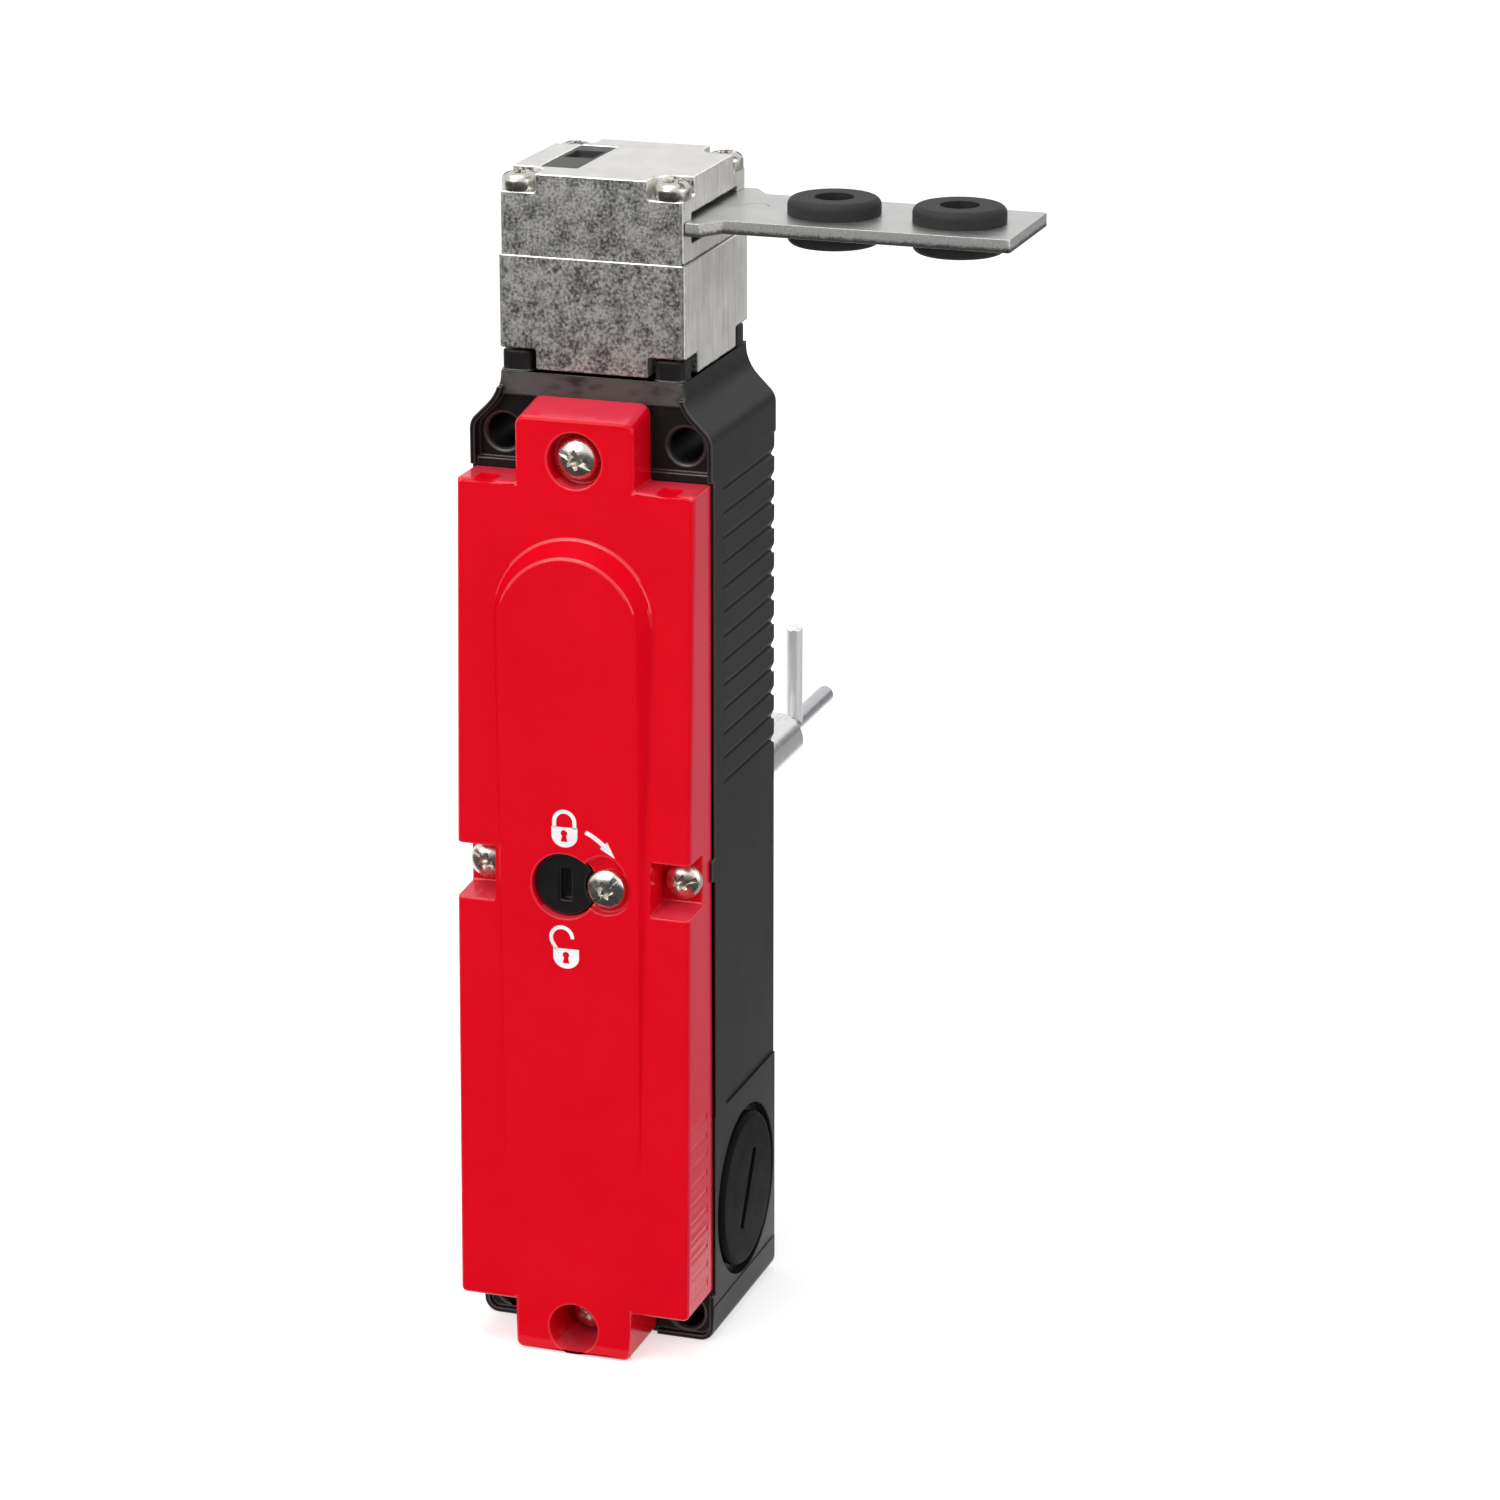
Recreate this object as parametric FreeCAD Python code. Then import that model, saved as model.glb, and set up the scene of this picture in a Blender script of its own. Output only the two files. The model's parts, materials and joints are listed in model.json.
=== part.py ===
import FreeCAD, Part
import math
import os

# Tongue interlock switch with guard locking.
# Millimetres, X to the right, Y towards the machine, Z up. Pieces are drawn with Z from the
# foot and Y from the rear mounting face, then moved so that the origin is the middle of the
# four fixing holes on the rear face.

Vector = FreeCAD.Vector

# Cuts run past the faces they open by this much, and through cuts by the longer one.
over = 1.0
far = 60.0

# Fits between pieces
hairline = 0.02
seat_gap = 0.05
rod_clearance = 0.1
thread_gap = 0.1
shank_gap = 0.15
plunger_gap = 0.15
running_gap = 0.05
bolt_gap = 0.35

# Fixing holes
fixing_gap_x = 30.0
fixing_gap_z = 145.0
fixing_low = 4.3
fixing_radius = 2.75
fixing_chamfer = 0.4
fixing_top_gap = 10.1

# Housing
body_width = 40.0
body_depth = 31.0
neck_width = 30.0
neck_rear_inset = 0.5
shoulder_straight = 0.4
shoulder_hollow_radius = 7.0
shoulder_crown_radius = 3.0
foot_corner_radius = 2.5
rim_height = 1.0
rim_width = 0.9
rim_gap = 0.3
rim_top_gap = 2.5
rear_edge = 0.6
side_wall = 2.7
rear_wall = 3.0
cavity_bottom = 12.0
cavity_top_gap = 19.9
cavity_corner_radius = 2.0
side_relief = 0.4
side_band = 5.5
lower_block_height = 39.0
relief_top_gap = 14.4
foot_band_height = 6.0
foot_band_step = 0.12
pocket_depth = 1.0
pocket_low_gap = 1.4
neck_band_height = 3.9
tab_island_step = 0.75
side_nub_height = 3.6
side_nub_length = 1.4
side_nub_width = 0.45
side_nub_rise = 0.5

# Ribbed sides
rib_pitch = 4.0
rib_count = 13
rib_depth = 0.55
rib_rise = 1.5
rib_lip = 0.3
rib_top_gap = 2.7

# Corner posts that stand in the notches of the head
post_width = 4.8
post_set_back = 0.1
post_rear_step = 0.2
post_corner = 1.2
post_top_edge = 0.4
post_notch = 6.0
post_notch_height = 3.2
post_gap = 0.3
post_root = 3.5

# Cover
cover_side_step = 0.5
cover_bottom = 8.3
cover_top_gap = 15.6
cover_rise_top = 8.3
cover_rise_middle = 11.1
cover_rise_bottom = 12.8
cover_wall = 3.0
cover_edge = 1.0
tab_width = 19.5
tab_height = 10.7
tab_top_slope = 1.4
tab_foot_gap = 0.3
tab_corner_radius = 1.8
tab_foot_radius = 1.2
tab_edge = 0.8
tab_overlap = 5.0
gasket_width = 0.8
gasket_depth = 0.95
gasket_groove_depth = 1.0
gasket_inset = 0.2
gasket_low_inset = 0.9
gasket_high_inset = 1.2
pad_rise = 12.3
pad_arch_gap = 21.8
pad_low_gap = 15.7
pad_radius = 11.4
pad_slope = 0.6
pad_root = 1.5
scallop_radius = 5.8
scallop_length = 4.0
grip_pitch = 3.2
grip_low_gap = 2.2
grip_count = 10
grip_depth = 0.35
grip_front_gap = 2.0
grip_length = 8.0

# Cover screws
screw_head_radius = 3.05
screw_head_height = 2.2
screw_head_round = 1.0
screw_shank_radius = 1.9
screw_hole_spare = 0.5
recess_core_radius = 0.95
recess_lobe_radius = 0.42
recess_lobe_reach = 1.1
recess_depth = 1.2
recess_slot_width = 0.75
recess_slot_depth = 0.6
top_screw_gap = 4.1
top_screw_seat = 4.8
top_screw_grip = 6.5
top_counterbore_radius = 4.4
low_screw_height = 4.6
low_screw_seat = 1.9
low_screw_grip = 4.0
low_counterbore_radius = 4.1
side_screw_inset = 3.1
side_screw_rise = 0.5
side_screw_seat = 4.3
side_screw_grip = 8.0
side_notch_inset = 6.5
side_notch_height = 8.8
side_notch_slope = 0.5
side_pillar_half = 4.2
side_boss_wall = 2.0
side_boss_half = 6.6

# Release key and its lock screw
key_x = -1.0
key_height = 80.0
key_radius = 5.0
key_disc_thickness = 2.4
key_gap = 0.3
key_shaft_radius = 2.5
key_slot_width = 1.8
key_slot_length = 5.4
key_slot_depth = 1.6
key_border = 0.35
key_border_depth = 0.15
key_boss_wall = 3.5
key_room_gap = 3.5
key_inner_gap = 9.5
key_pin_radius = 1.2
key_pin_offset = 1.2
key_pin_length = 5.0
key_seal_width = 1.3
key_seal_depth = 1.4
key_seal_gap = 2.0
lock_screw_x = 6.0
lock_screw_rise = 0.2
lock_hole_radius = 1.6
lock_hole_depth = 7.0
lock_boss_wall = 2.2
lock_recess_radius = 4.1
lock_pocket_radius = 3.6
lock_pocket_shift = 0.4
lock_pocket_rise = 1.8
lock_head_radius = 3.2
lock_head_height = 1.8
lock_shank_radius = 1.5
lock_shank_length = 5.6
lock_bite_radius = 3.75
lock_bite_depth = 1.0

# Head
head_side_step = 0.25
head_rear_gap = 0.3
head_gasket_thickness = 0.3
head_gasket_inset = 1.5
head_gasket_hole_gap = 0.6
head_base_height = 17.95
head_cap_height = 12.8
cap_inset = 0.3
head_edge = 0.35
head_pocket_depth = 2.95
head_screw_inset = 2.8
head_screw_radius = 1.2
head_screw_head = 2.85
head_screw_head_height = 2.6
head_screw_round = 1.3
head_screw_pocket_gap = 0.45
head_screw_grip = 6.2

# Tongue and its slot
tongue_thickness = 2.1
tongue_rise = 6.55
tongue_width = 21.5
tongue_length = 75.7
tongue_travel = 11.0
tongue_inner_round = 2.0
tongue_end_round = 0.5
slot_side_gap = 0.2
slot_low_gap = 1.7
slot_high_gap = 0.8
slot_end_gap = 0.4
wing_width = 29.0
wing_start = 15.05
wing_flat = 2.2
wing_slope = 2.6
bar_length = 3.0
window_reach = 6.9
window_side_gap = 0.5
mark_x = 21.2
mark_y = -14.0
mark_radius = 1.95
mark_width = 0.2
mark_depth = 0.12

# Rubber bushes
bush_start = 34.3
bush_gap = 20.0
bush_radius = 7.25
bush_waist = 5.0
bush_bore = 3.05
bush_flange = 2.6
bush_round = 1.2

# Filler in the unused top slot
insert_left = -10.4
insert_right = -4.4
insert_front = -24.9
insert_back = -6.0
insert_gap = 0.08
insert_top_gap = 0.15
insert_floor_gap = 0.2
insert_wall = 0.7
insert_tab_front = 9.1
insert_tab_back = 4.0
insert_middle_depth = 3.0
insert_step_length = 1.6
insert_step_depth = 1.2

# Cam wheel, driven by the bar at the inner end of the tongue
cam_x = -3.5
cam_pitch_radius = 8.0
cam_radius = 9.2
cam_width = 10.0
cam_split = 0.2
cam_split_depth = 0.8
cam_axle_radius = 2.0
cam_axle_grip = 5.0
cam_axle_end_gap = 0.4
cam_room_gap = 0.4
cam_side_gap = 0.35
cam_roof_gap = 0.5
bar_gap = 0.2
notch_floor_half = 1.9
notch_mouth_half = 4.2
lock_notch_floor = 5.3
lock_notch_width = 5.0
ramp_low = 7.0
ramp_high = 9.2
ramp_margin = 0.25
ramp_clear = 12.0

# Plunger, contacts and locking bolt
plunger_radius = 1.9
plunger_tip_round = 1.2
plunger_arm_end = 12.5
plunger_arm_half = 2.4
plunger_arm_thickness = 2.5
plunger_arm_gap = 0.5
plunger_leg_radius = 1.2
leg_inset = 3.3
leg_pitch = 6.0
block_left = 1.2
block_width = 13.2
block_half_depth = 6.5
block_height = 33.0
block_top_gap = 6.5
block_wall = 1.5
block_window_back = 4.0
bridge_gap = 5.0
bridge_thickness = 0.9
bridge_half_width = 2.0
bridge_end_gap = 2.2
bridge_room_low = 10.0
bridge_room_high = 2.5
block_foot_inset = 3.0
block_foot_low = 4.0
block_foot_height = 8.0
terminal_radius = 2.2
terminal_height = 1.7
terminal_inset = 2.8
terminal_low = 4.0
terminal_pitch = 8.0
terminal_slot_width = 0.7
terminal_slot_depth = 1.0
bolt_radius = 2.4
bolt_stroke = 4.0
bolt_tip_chamfer = 0.5
bolt_window_half = 3.7
bolt_window_rise = 3.9
plate_left = -8.5
plate_right = 6.5
plate_half_thickness = 1.25
plate_below_key = 18.0
plate_above_key = 10.0

# Solenoid
armature_radius = 4.5
armature_gap = 0.2
armature_rest_gap = 3.0
bobbin_wall = 0.9
bobbin_flange = 1.2
bobbin_radius = 9.6
coil_radius = 9.0
coil_height = 22.0
coil_below_plate = 6.0
yoke_half = 9.9
yoke_front = 10.5
yoke_thickness = 2.0
yoke_bore_gap = 0.3
yoke_stop_height = 2.5

# Cable entries and their plugs
entry_height = 20.5
entry_y = 15.3
entry_recess_radius = 14.2
entry_hole_radius = 10.0
entry_boss_radius = 13.0
entry_boss_length = 5.5
entry_boss_overlap = 1.0
plug_radius = 12.85
plug_foot_gap = 0.4
plug_proud = 0.3
plug_sink = 0.25
plug_head_thickness = 1.5
plug_round = 1.0
plug_seal_radius = 12.3
plug_seal_thickness = 0.6
plug_shank_radius = 9.8
plug_length = 6.0
plug_wall = 2.0
plug_cap_thickness = 2.6
plug_slot_length = 13.5
plug_slot_width = 1.7
plug_slot_depth = 0.8
plug_slot_turn = 30.0

# Escape release at the rear
escape_height = 72.7
escape_radius = 4.75
escape_length = 62.6
escape_end_chamfer = 0.5
escape_inner = 13.0
escape_pin_radius = 1.6
escape_pin_length = 35.4
escape_pin_sunk = 8.0
escape_pin_round = 0.5
escape_cross_inset = 8.5
escape_cross_length = 18.0
escape_bush_radius = 7.0
escape_bush_length = 6.6
escape_flange_radius = 8.5
escape_flange_depth = 1.2
escape_boss_depth = 3.0
escape_groove_start = 8.0
escape_groove_width = 1.0
escape_groove_depth = 0.7
escape_clip_gap = 0.05
escape_clip_width = 1.6
escape_clip_opening = 2.2
escape_cam_radius = 5.6
escape_cam_thickness = 2.6
escape_cam_flat = 3.6

# Board, terminal block and earth screw in the housing
board_left = -15.5
board_width = 15.7
board_thickness = 1.6
board_lift = 1.0
board_height = 38.0
board_top_gap = 3.5
board_foot_radius = 1.5
board_foot_inset = 2.0
board_foot_sink = 0.2
strip_left = -15.0
strip_width = 7.0
strip_depth = 8.0
strip_height = 34.0
strip_top_gap = 5.5
strip_hole_radius = 1.6
strip_hole_depth = 2.6
strip_hole_count = 6
strip_hole_inset = 2.8
strip_hole_pitch = 5.6
earth_x = 13.2
earth_height = 46.0
earth_head_radius = 3.0
earth_head_height = 2.0
earth_seat = 1.2
earth_shank_radius = 1.5

# Sizes that follow from the ones above
fixing_high = fixing_low + fixing_gap_z
origin_height = (fixing_low + fixing_high) / 2
body_top = fixing_high + fixing_top_gap
body_half = body_width / 2
neck_half = neck_width / 2
neck_band_low = body_top - neck_band_height
shoulder_start = body_top - shoulder_straight
cavity_top = body_top - cavity_top_gap
relief_top = body_top - relief_top_gap
rib_start = relief_top - rib_top_gap - rib_rise - (rib_count - 1) * rib_pitch
cover_half = body_half - cover_side_step
cover_top = body_top - cover_top_gap
cover_back = body_depth + seat_gap
cover_front_top = body_depth + cover_rise_top
cover_front_middle = body_depth + cover_rise_middle
cover_front_bottom = body_depth + cover_rise_bottom
tab_half = tab_width / 2
tab_top = cover_top + tab_height
pad_front = body_depth + pad_rise
pad_arch_height = cover_top - pad_arch_gap
pad_low = cover_bottom + pad_low_gap
top_screw_height = cover_top + top_screw_gap
side_screw_x = cover_half - side_screw_inset
side_screw_height = key_height + side_screw_rise
side_screw_floor = body_depth + side_screw_seat
side_notch_inner = cover_half - side_notch_inset
key_face = cover_front_middle
key_inner_end = body_depth - key_inner_gap
lock_screw_height = key_height + lock_screw_rise
head_half = neck_half + head_side_step
head_y = -(head_rear_gap + head_half)
head_back = head_y + head_half
cap_half = head_half - cap_inset
head_bottom = body_top + head_gasket_thickness
head_seam = head_bottom + head_base_height
head_top = head_seam + head_cap_height
head_pocket_floor = head_top - head_pocket_depth
head_screw_end = body_top - head_screw_grip
tongue_top = head_seam + tongue_rise
tongue_bottom = tongue_top - tongue_thickness
cam_height = (tongue_top + tongue_bottom) / 2 - cam_pitch_radius
cam_turn = tongue_travel / cam_pitch_radius
cam_front = head_y - cam_width / 2
cam_back = head_y + cam_width / 2
cam_roof = cam_height + cam_radius + cam_roof_gap
lock_disc_width = (cam_width - cam_split) / 2
bolt_y = cam_front + lock_disc_width / 2
plunger_y = cam_back - lock_disc_width / 2
bar_start = cam_x - tongue_travel / 2 - bar_length / 2
tongue_end = bar_start + tongue_length
arm_top = cavity_top - plunger_arm_gap
block_top = cavity_top - block_top_gap
block_low = block_top - block_height
block_right = block_left + block_width
block_front = plunger_y - block_half_depth
bridge_top = block_top - bridge_gap
leg_places = (block_left + leg_inset, block_left + leg_inset + leg_pitch)
plate_low = key_height - plate_below_key
plate_top = key_height + plate_above_key
coil_top = plate_low - coil_below_plate
coil_low = coil_top - coil_height
plug_floor = plug_head_thickness + plug_seal_thickness
entry_recess_depth = plug_floor - plug_proud
foot_recess_depth = plug_floor + plug_sink
entry_boss_end = body_half - entry_boss_overlap
entry_boss_start = entry_boss_end - entry_boss_length
board_front = rear_wall + board_lift + board_thickness
strip_top = cavity_top - strip_top_gap
corners = [(side_x, side_y) for side_x in (-1, 1) for side_y in (-1, 1)]
screw_reach = head_half - head_screw_inset
screw_corners = [(sx * screw_reach, head_y + sy * screw_reach) for sx, sy in corners]


def box(x0, x1, y0, y1, z0, z1):
    """Box between two values of X, two of Y and two of Z, each pair in either order."""
    low = Vector(min(x0, x1), min(y0, y1), min(z0, z1))
    return Part.makeBox(abs(x1 - x0), abs(y1 - y0), abs(z1 - z0), low)


def rod(axis, radius, across, start, end):
    """Cylinder along an axis; across holds its two other coordinates in X, Y, Z order."""
    a, b = across
    low = min(start, end)
    base = {"x": Vector(low, a, b), "y": Vector(a, low, b), "z": Vector(a, b, low)}[axis]
    way = {"x": Vector(1, 0, 0), "y": Vector(0, 1, 0), "z": Vector(0, 0, 1)}[axis]
    return Part.makeCylinder(radius, abs(end - start), base, way)


def tube(axis, outer, inner, across, start, end):
    low, high = min(start, end), max(start, end)
    return rod(axis, outer, across, low, high).cut(rod(axis, inner, across, low - over, high + over))


def polygon(points):
    return Part.Face(Part.makePolygon(points + [points[0]]))


def prism_x(outline, x0, x1):
    """Solid from a closed outline of (y, z) points, from x0 to x1."""
    return polygon([Vector(x0, y, z) for y, z in outline]).extrude(Vector(x1 - x0, 0, 0))


def prism_y(outline, y0, y1):
    return polygon([Vector(x, y0, z) for x, z in outline]).extrude(Vector(0, y1 - y0, 0))


def prism_z(outline, z0, z1):
    return polygon([Vector(x, y, z0) for x, y in outline]).extrude(Vector(0, 0, z1 - z0))


def fuse(shapes):
    whole = shapes[0]
    for shape in shapes[1:]:
        whole = whole.fuse(shape)
    return whole.removeSplitter()


def cut(shape, tools):
    return shape.cut(Part.makeCompound(tools)).removeSplitter()


def edges_where(shape, test):
    """Edges whose middle point and direction pass the test."""
    found = []
    for edge in shape.Edges:
        half_way = (edge.FirstParameter + edge.LastParameter) / 2
        if test(edge.valueAt(half_way), edge.tangentAt(half_way)):
            found.append(edge)
    return found


def near(a, b):
    return abs(a - b) < hairline


def arc(centre, radius, start, end):
    """Arc in the X, Z plane about centre, angles in degrees."""
    def at(angle):
        turn = math.radians(angle)
        return Vector(centre[0] + radius * math.cos(turn), 0, centre[1] + radius * math.sin(turn))
    return Part.Arc(at(start), at((start + end) / 2), at(end)).toShape()


def loop_face(pieces, y):
    """Face from lines and arcs drawn at y = 0, moved to y. Gaps between pieces become lines."""
    edges = []
    for index, piece in enumerate(pieces):
        edges.append(piece)
        after = pieces[(index + 1) % len(pieces)]
        start = piece.valueAt(piece.LastParameter)
        end = after.valueAt(after.FirstParameter)
        if start.distanceToPoint(end) > 1e-6:
            edges.append(Part.LineSegment(start, end).toShape())
    face = Part.Face(Part.Wire(edges))
    face.translate(Vector(0, y, 0))
    return face


def body_outline(inset, y):
    """Front view of the housing: square foot, S-shaped shoulders, narrow neck."""
    crown = shoulder_crown_radius - inset
    hollow = shoulder_hollow_radius + inset
    foot = foot_corner_radius - inset
    crown_x = body_half - shoulder_crown_radius
    hollow_x = neck_half + shoulder_hollow_radius
    reach = math.sqrt(2) * (shoulder_hollow_radius + shoulder_crown_radius)
    crown_z = hollow_x + shoulder_start - crown_x - reach
    foot_x = body_half - foot_corner_radius
    top = body_top - inset
    half = neck_half - inset
    pieces = [
        arc((foot_x, foot_corner_radius), foot, -90, 0),
        arc((crown_x, crown_z), crown, 0, 45),
        arc((hollow_x, shoulder_start), hollow, 225, 180),
        Part.LineSegment(Vector(half, 0, top), Vector(-half, 0, top)).toShape(),
        arc((-hollow_x, shoulder_start), hollow, 0, -45),
        arc((-crown_x, crown_z), crown, 135, 180),
        arc((-foot_x, foot_corner_radius), foot, 180, 270),
    ]
    return loop_face(pieces, y)


def housing_shell():
    body = body_outline(0, 0).extrude(Vector(0, -body_depth, 0))
    body = body.makeFillet(rear_edge, edges_where(
        body, lambda m, w: near(m.y, 0) and not near(m.z, body_top)))
    rim = body_outline(0, -body_depth).extrude(Vector(0, -rim_height, 0))
    room = body_outline(rim_width, -body_depth + over).extrude(Vector(0, -rim_height - 2 * over, 0))
    tab_way = tab_half + rim_gap
    rim = rim.cut(room).cut(box(-tab_way, tab_way, -far, 0, -over, cover_bottom))
    low_rim = rim.common(box(-body_half, body_half, -far, 0, -over, cover_bottom - rim_gap))
    high_rim = rim.common(box(-body_half, body_half, -far, 0, cover_top + rim_gap, body_top - rim_top_gap))
    wide = neck_half + over
    return cut(fuse([body, low_rim, high_rim]),
               [box(-wide, wide, -neck_rear_inset, over, neck_band_low, body_top + over)])


def hole_pockets():
    """Sunk fields round the two upper fixing holes, below the band that carries the head."""
    field = body_outline(rim_width, -body_depth + pocket_depth).extrude(Vector(0, -pocket_depth - over, 0))
    low = cover_top + pocket_low_gap
    inner = tab_half - tab_island_step
    return [field.common(box(side * inner, side * body_half, -far, 0, low, neck_band_low)) for side in (-1, 1)]


def side_grooves(side):
    """Louvre-like grooves down one flank, open at the rear edge."""
    outer = side * (body_half + over)
    face = side * (body_half - side_relief)
    deep = side * (body_half - side_relief - rib_depth)
    grooves = []
    for index in range(rib_count):
        low = rib_start + index * rib_pitch
        top = low + rib_rise
        outline = [(outer, low), (face, low), (deep, low + rib_lip), (face, top), (outer, top)]
        grooves.append(prism_y(outline, -body_depth + side_band - over, over))
    return grooves


def housing_hollow():
    half = body_half - side_wall
    room = box(-half, half, -body_depth - over, -rear_wall, cavity_bottom, cavity_top)
    return room.makeFillet(cavity_corner_radius, edges_where(room, lambda m, w: near(abs(w.y), 1)))


def corner_posts():
    posts = []
    top = head_bottom + post_notch_height - post_gap
    front, back = -body_depth + post_set_back, -neck_rear_inset - post_rear_step
    outer = neck_half - post_set_back
    for side in (-1, 1):
        for start, end in ((front, front + post_width), (back - post_width, back)):
            post = box(side * (outer - post_width), side * outer, start, end, body_top - post_root, top)
            post = post.makeFillet(post_corner, edges_where(post, lambda m, w: near(abs(w.z), 1)))
            posts.append(post.makeFillet(post_top_edge, edges_where(post, lambda m, w: near(m.z, top))))
    return posts


def make_housing():
    cuts = hole_pockets()
    adds = corner_posts()
    nub_low = side_screw_height + side_nub_rise - side_nub_height / 2
    for side in (-1, 1):
        outer = side * (body_half + over)
        cuts.append(box(side * (body_half - side_relief), outer, -body_depth + side_band, over,
                        lower_block_height, relief_top))
        cuts.append(box(side * (body_half - foot_band_step), outer, -far, over,
                        foot_band_height, lower_block_height))
        cuts.extend(side_grooves(side))
        adds.append(rod("x", entry_boss_radius, (-entry_y, entry_height), side * entry_boss_start,
                        side * entry_boss_end))
        adds.append(box(side * (side_screw_x - side_pillar_half), side * (body_half - side_wall / 2),
                        -body_depth, -rear_wall, side_screw_height - side_pillar_half,
                        side_screw_height + side_pillar_half))
        adds.append(box(side * (body_half - side_nub_width), side * body_half, -body_depth - side_nub_length,
                        -body_depth + over, nub_low, nub_low + side_nub_height))
    adds.append(rod("y", escape_flange_radius, (0, escape_height), -rear_wall - escape_boss_depth,
                    -escape_flange_depth))
    body = cut(cut(housing_shell(), cuts), [housing_hollow()])
    return cut(fuse([body] + adds), housing_holes())


def screw_hole(x, z, grip):
    return rod("y", screw_shank_radius + shank_gap, (x, z), -far, -body_depth + grip + screw_hole_spare)


def housing_holes():
    holes = [gasket_ring(gasket_groove_depth), screw_hole(0, top_screw_height, top_screw_grip),
             screw_hole(0, low_screw_height, low_screw_grip)]
    for side in (-1, 1):
        x = side * fixing_gap_x / 2
        for z, front in ((fixing_low, body_depth), (fixing_high, body_depth - pocket_depth)):
            holes.append(rod("y", fixing_radius, (x, z), -far, over))
            holes.append(Part.makeCone(fixing_radius + fixing_chamfer, fixing_radius, fixing_chamfer,
                                       Vector(x, -front, z), Vector(0, 1, 0)))
        outer = side * (body_half + over)
        recess_floor = side * (body_half - entry_recess_depth)
        inner = side * (entry_boss_start - over)
        holes.append(rod("x", entry_recess_radius, (-entry_y, entry_height), recess_floor, outer))
        holes.append(rod("x", entry_hole_radius, (-entry_y, entry_height), inner, outer))
        holes.append(screw_hole(side * side_screw_x, side_screw_height, side_screw_grip))
    holes.append(rod("z", plug_radius + plug_foot_gap, (0, -entry_y), -over, foot_recess_depth))
    holes.append(rod("z", entry_hole_radius, (0, -entry_y), -over, cavity_bottom + over))
    boss_end = -rear_wall - escape_boss_depth
    holes.append(rod("y", escape_bush_radius, (0, escape_height), boss_end - over, over))
    holes.append(rod("y", escape_flange_radius, (0, escape_height), -escape_flange_depth, over))
    for x, y in screw_corners:
        holes.append(rod("z", head_screw_radius + thread_gap, (x, y), head_screw_end - screw_hole_spare,
                         head_bottom + post_notch_height))
    for y, radius in ((bolt_y, bolt_radius), (plunger_y, plunger_radius)):
        holes.append(rod("z", radius + rod_clearance, (cam_x, y), cavity_top - over, body_top + over))
    return holes


def gasket_ring(depth):
    outer = cover_half - gasket_inset
    inner = outer - gasket_width
    low, high = cover_bottom + gasket_low_inset, cover_top - gasket_high_inset
    ring = box(-outer, outer, -body_depth, -body_depth + depth, low, high)
    return ring.cut(box(-inner, inner, -far, 0, low + gasket_width, high - gasket_width))


def cover_plate():
    outline = [(-cover_back, cover_bottom), (-cover_back, cover_top), (-cover_front_top, cover_top),
               (-cover_front_middle, key_height), (-cover_front_bottom, cover_bottom)]
    plate = prism_x(outline, -cover_half, cover_half)
    half_way = -(cover_front_top + cover_back) / 2
    rims = edges_where(plate, lambda m, w: m.y < half_way and near(abs(m.x), cover_half))
    ends = edges_where(plate, lambda m, w: m.y < half_way and near(abs(w.x), 1) and not near(m.z, key_height))
    plate = plate.makeFillet(cover_edge, rims + ends)
    scallops = [rod("y", scallop_radius, (side * fixing_gap_x / 2, fixing_high), -far,
                    -cover_front_top + scallop_length) for side in (-1, 1)]
    return cut(plate, scallops)


def top_tab():
    low = cover_top - tab_overlap
    tab = prism_x([(-cover_back, low), (-cover_back, tab_top + tab_top_slope), (-cover_front_top, tab_top),
                   (-cover_front_top, low)], -tab_half, tab_half)
    shoulders = edges_where(tab, lambda m, w: near(abs(m.x), tab_half) and abs(w.y) > 0.9 and m.z > cover_top)
    tab = tab.makeFillet(tab_corner_radius, shoulders)
    return tab.makeFillet(tab_edge, edges_where(
        tab, lambda m, w: near(m.y, -cover_front_top) and m.z > low + over))


def low_tab():
    """Tab under the plate, its front in one plane with the plate's."""
    lean = (cover_front_bottom - cover_front_middle) / (key_height - cover_bottom)
    top = cover_bottom + tab_overlap
    front_top = -cover_front_bottom + lean * tab_overlap
    front_low = -cover_front_bottom - lean * (cover_bottom - tab_foot_gap)
    outline = [(-cover_back, tab_foot_gap), (-cover_back, top), (front_top, top), (front_low, tab_foot_gap)]
    tab = prism_x(outline, -tab_half, tab_half)
    return tab.makeFillet(tab_foot_radius, edges_where(
        tab, lambda m, w: near(abs(m.x), tab_half) and near(abs(w.y), 1) and m.z < cover_bottom))


def make_pad():
    """Arched pad with sloping sides, drawn as a loft between two like outlines."""
    back = -cover_front_top + pad_root
    deep = pad_front + back
    wires = []
    for y, grow in ((back, deep * pad_slope), (-pad_front, 0)):
        radius = pad_radius + grow
        low = pad_low - grow
        pieces = [
            arc((0, pad_arch_height), radius, 0, 180),
            Part.LineSegment(Vector(-radius, 0, low), Vector(radius, 0, low)).toShape(),
        ]
        wires.append(loop_face(pieces, y).OuterWire)
    return Part.makeLoft(wires, True, True)


def side_notch(side):
    """Notch for one side screw, with a level top and a lower lip that falls towards the front."""
    low, high = side_screw_height - side_notch_height / 2, side_screw_height + side_notch_height / 2
    lip = low + side_notch_slope
    fall = side_notch_slope / (cover_front_middle - side_screw_floor)
    outline = [(-far, lip - fall * (far - side_screw_floor)), (-side_screw_floor, lip),
               (-side_screw_floor, high), (-far, high)]
    return prism_x(outline, side * side_notch_inner, side * (cover_half + over))


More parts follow.
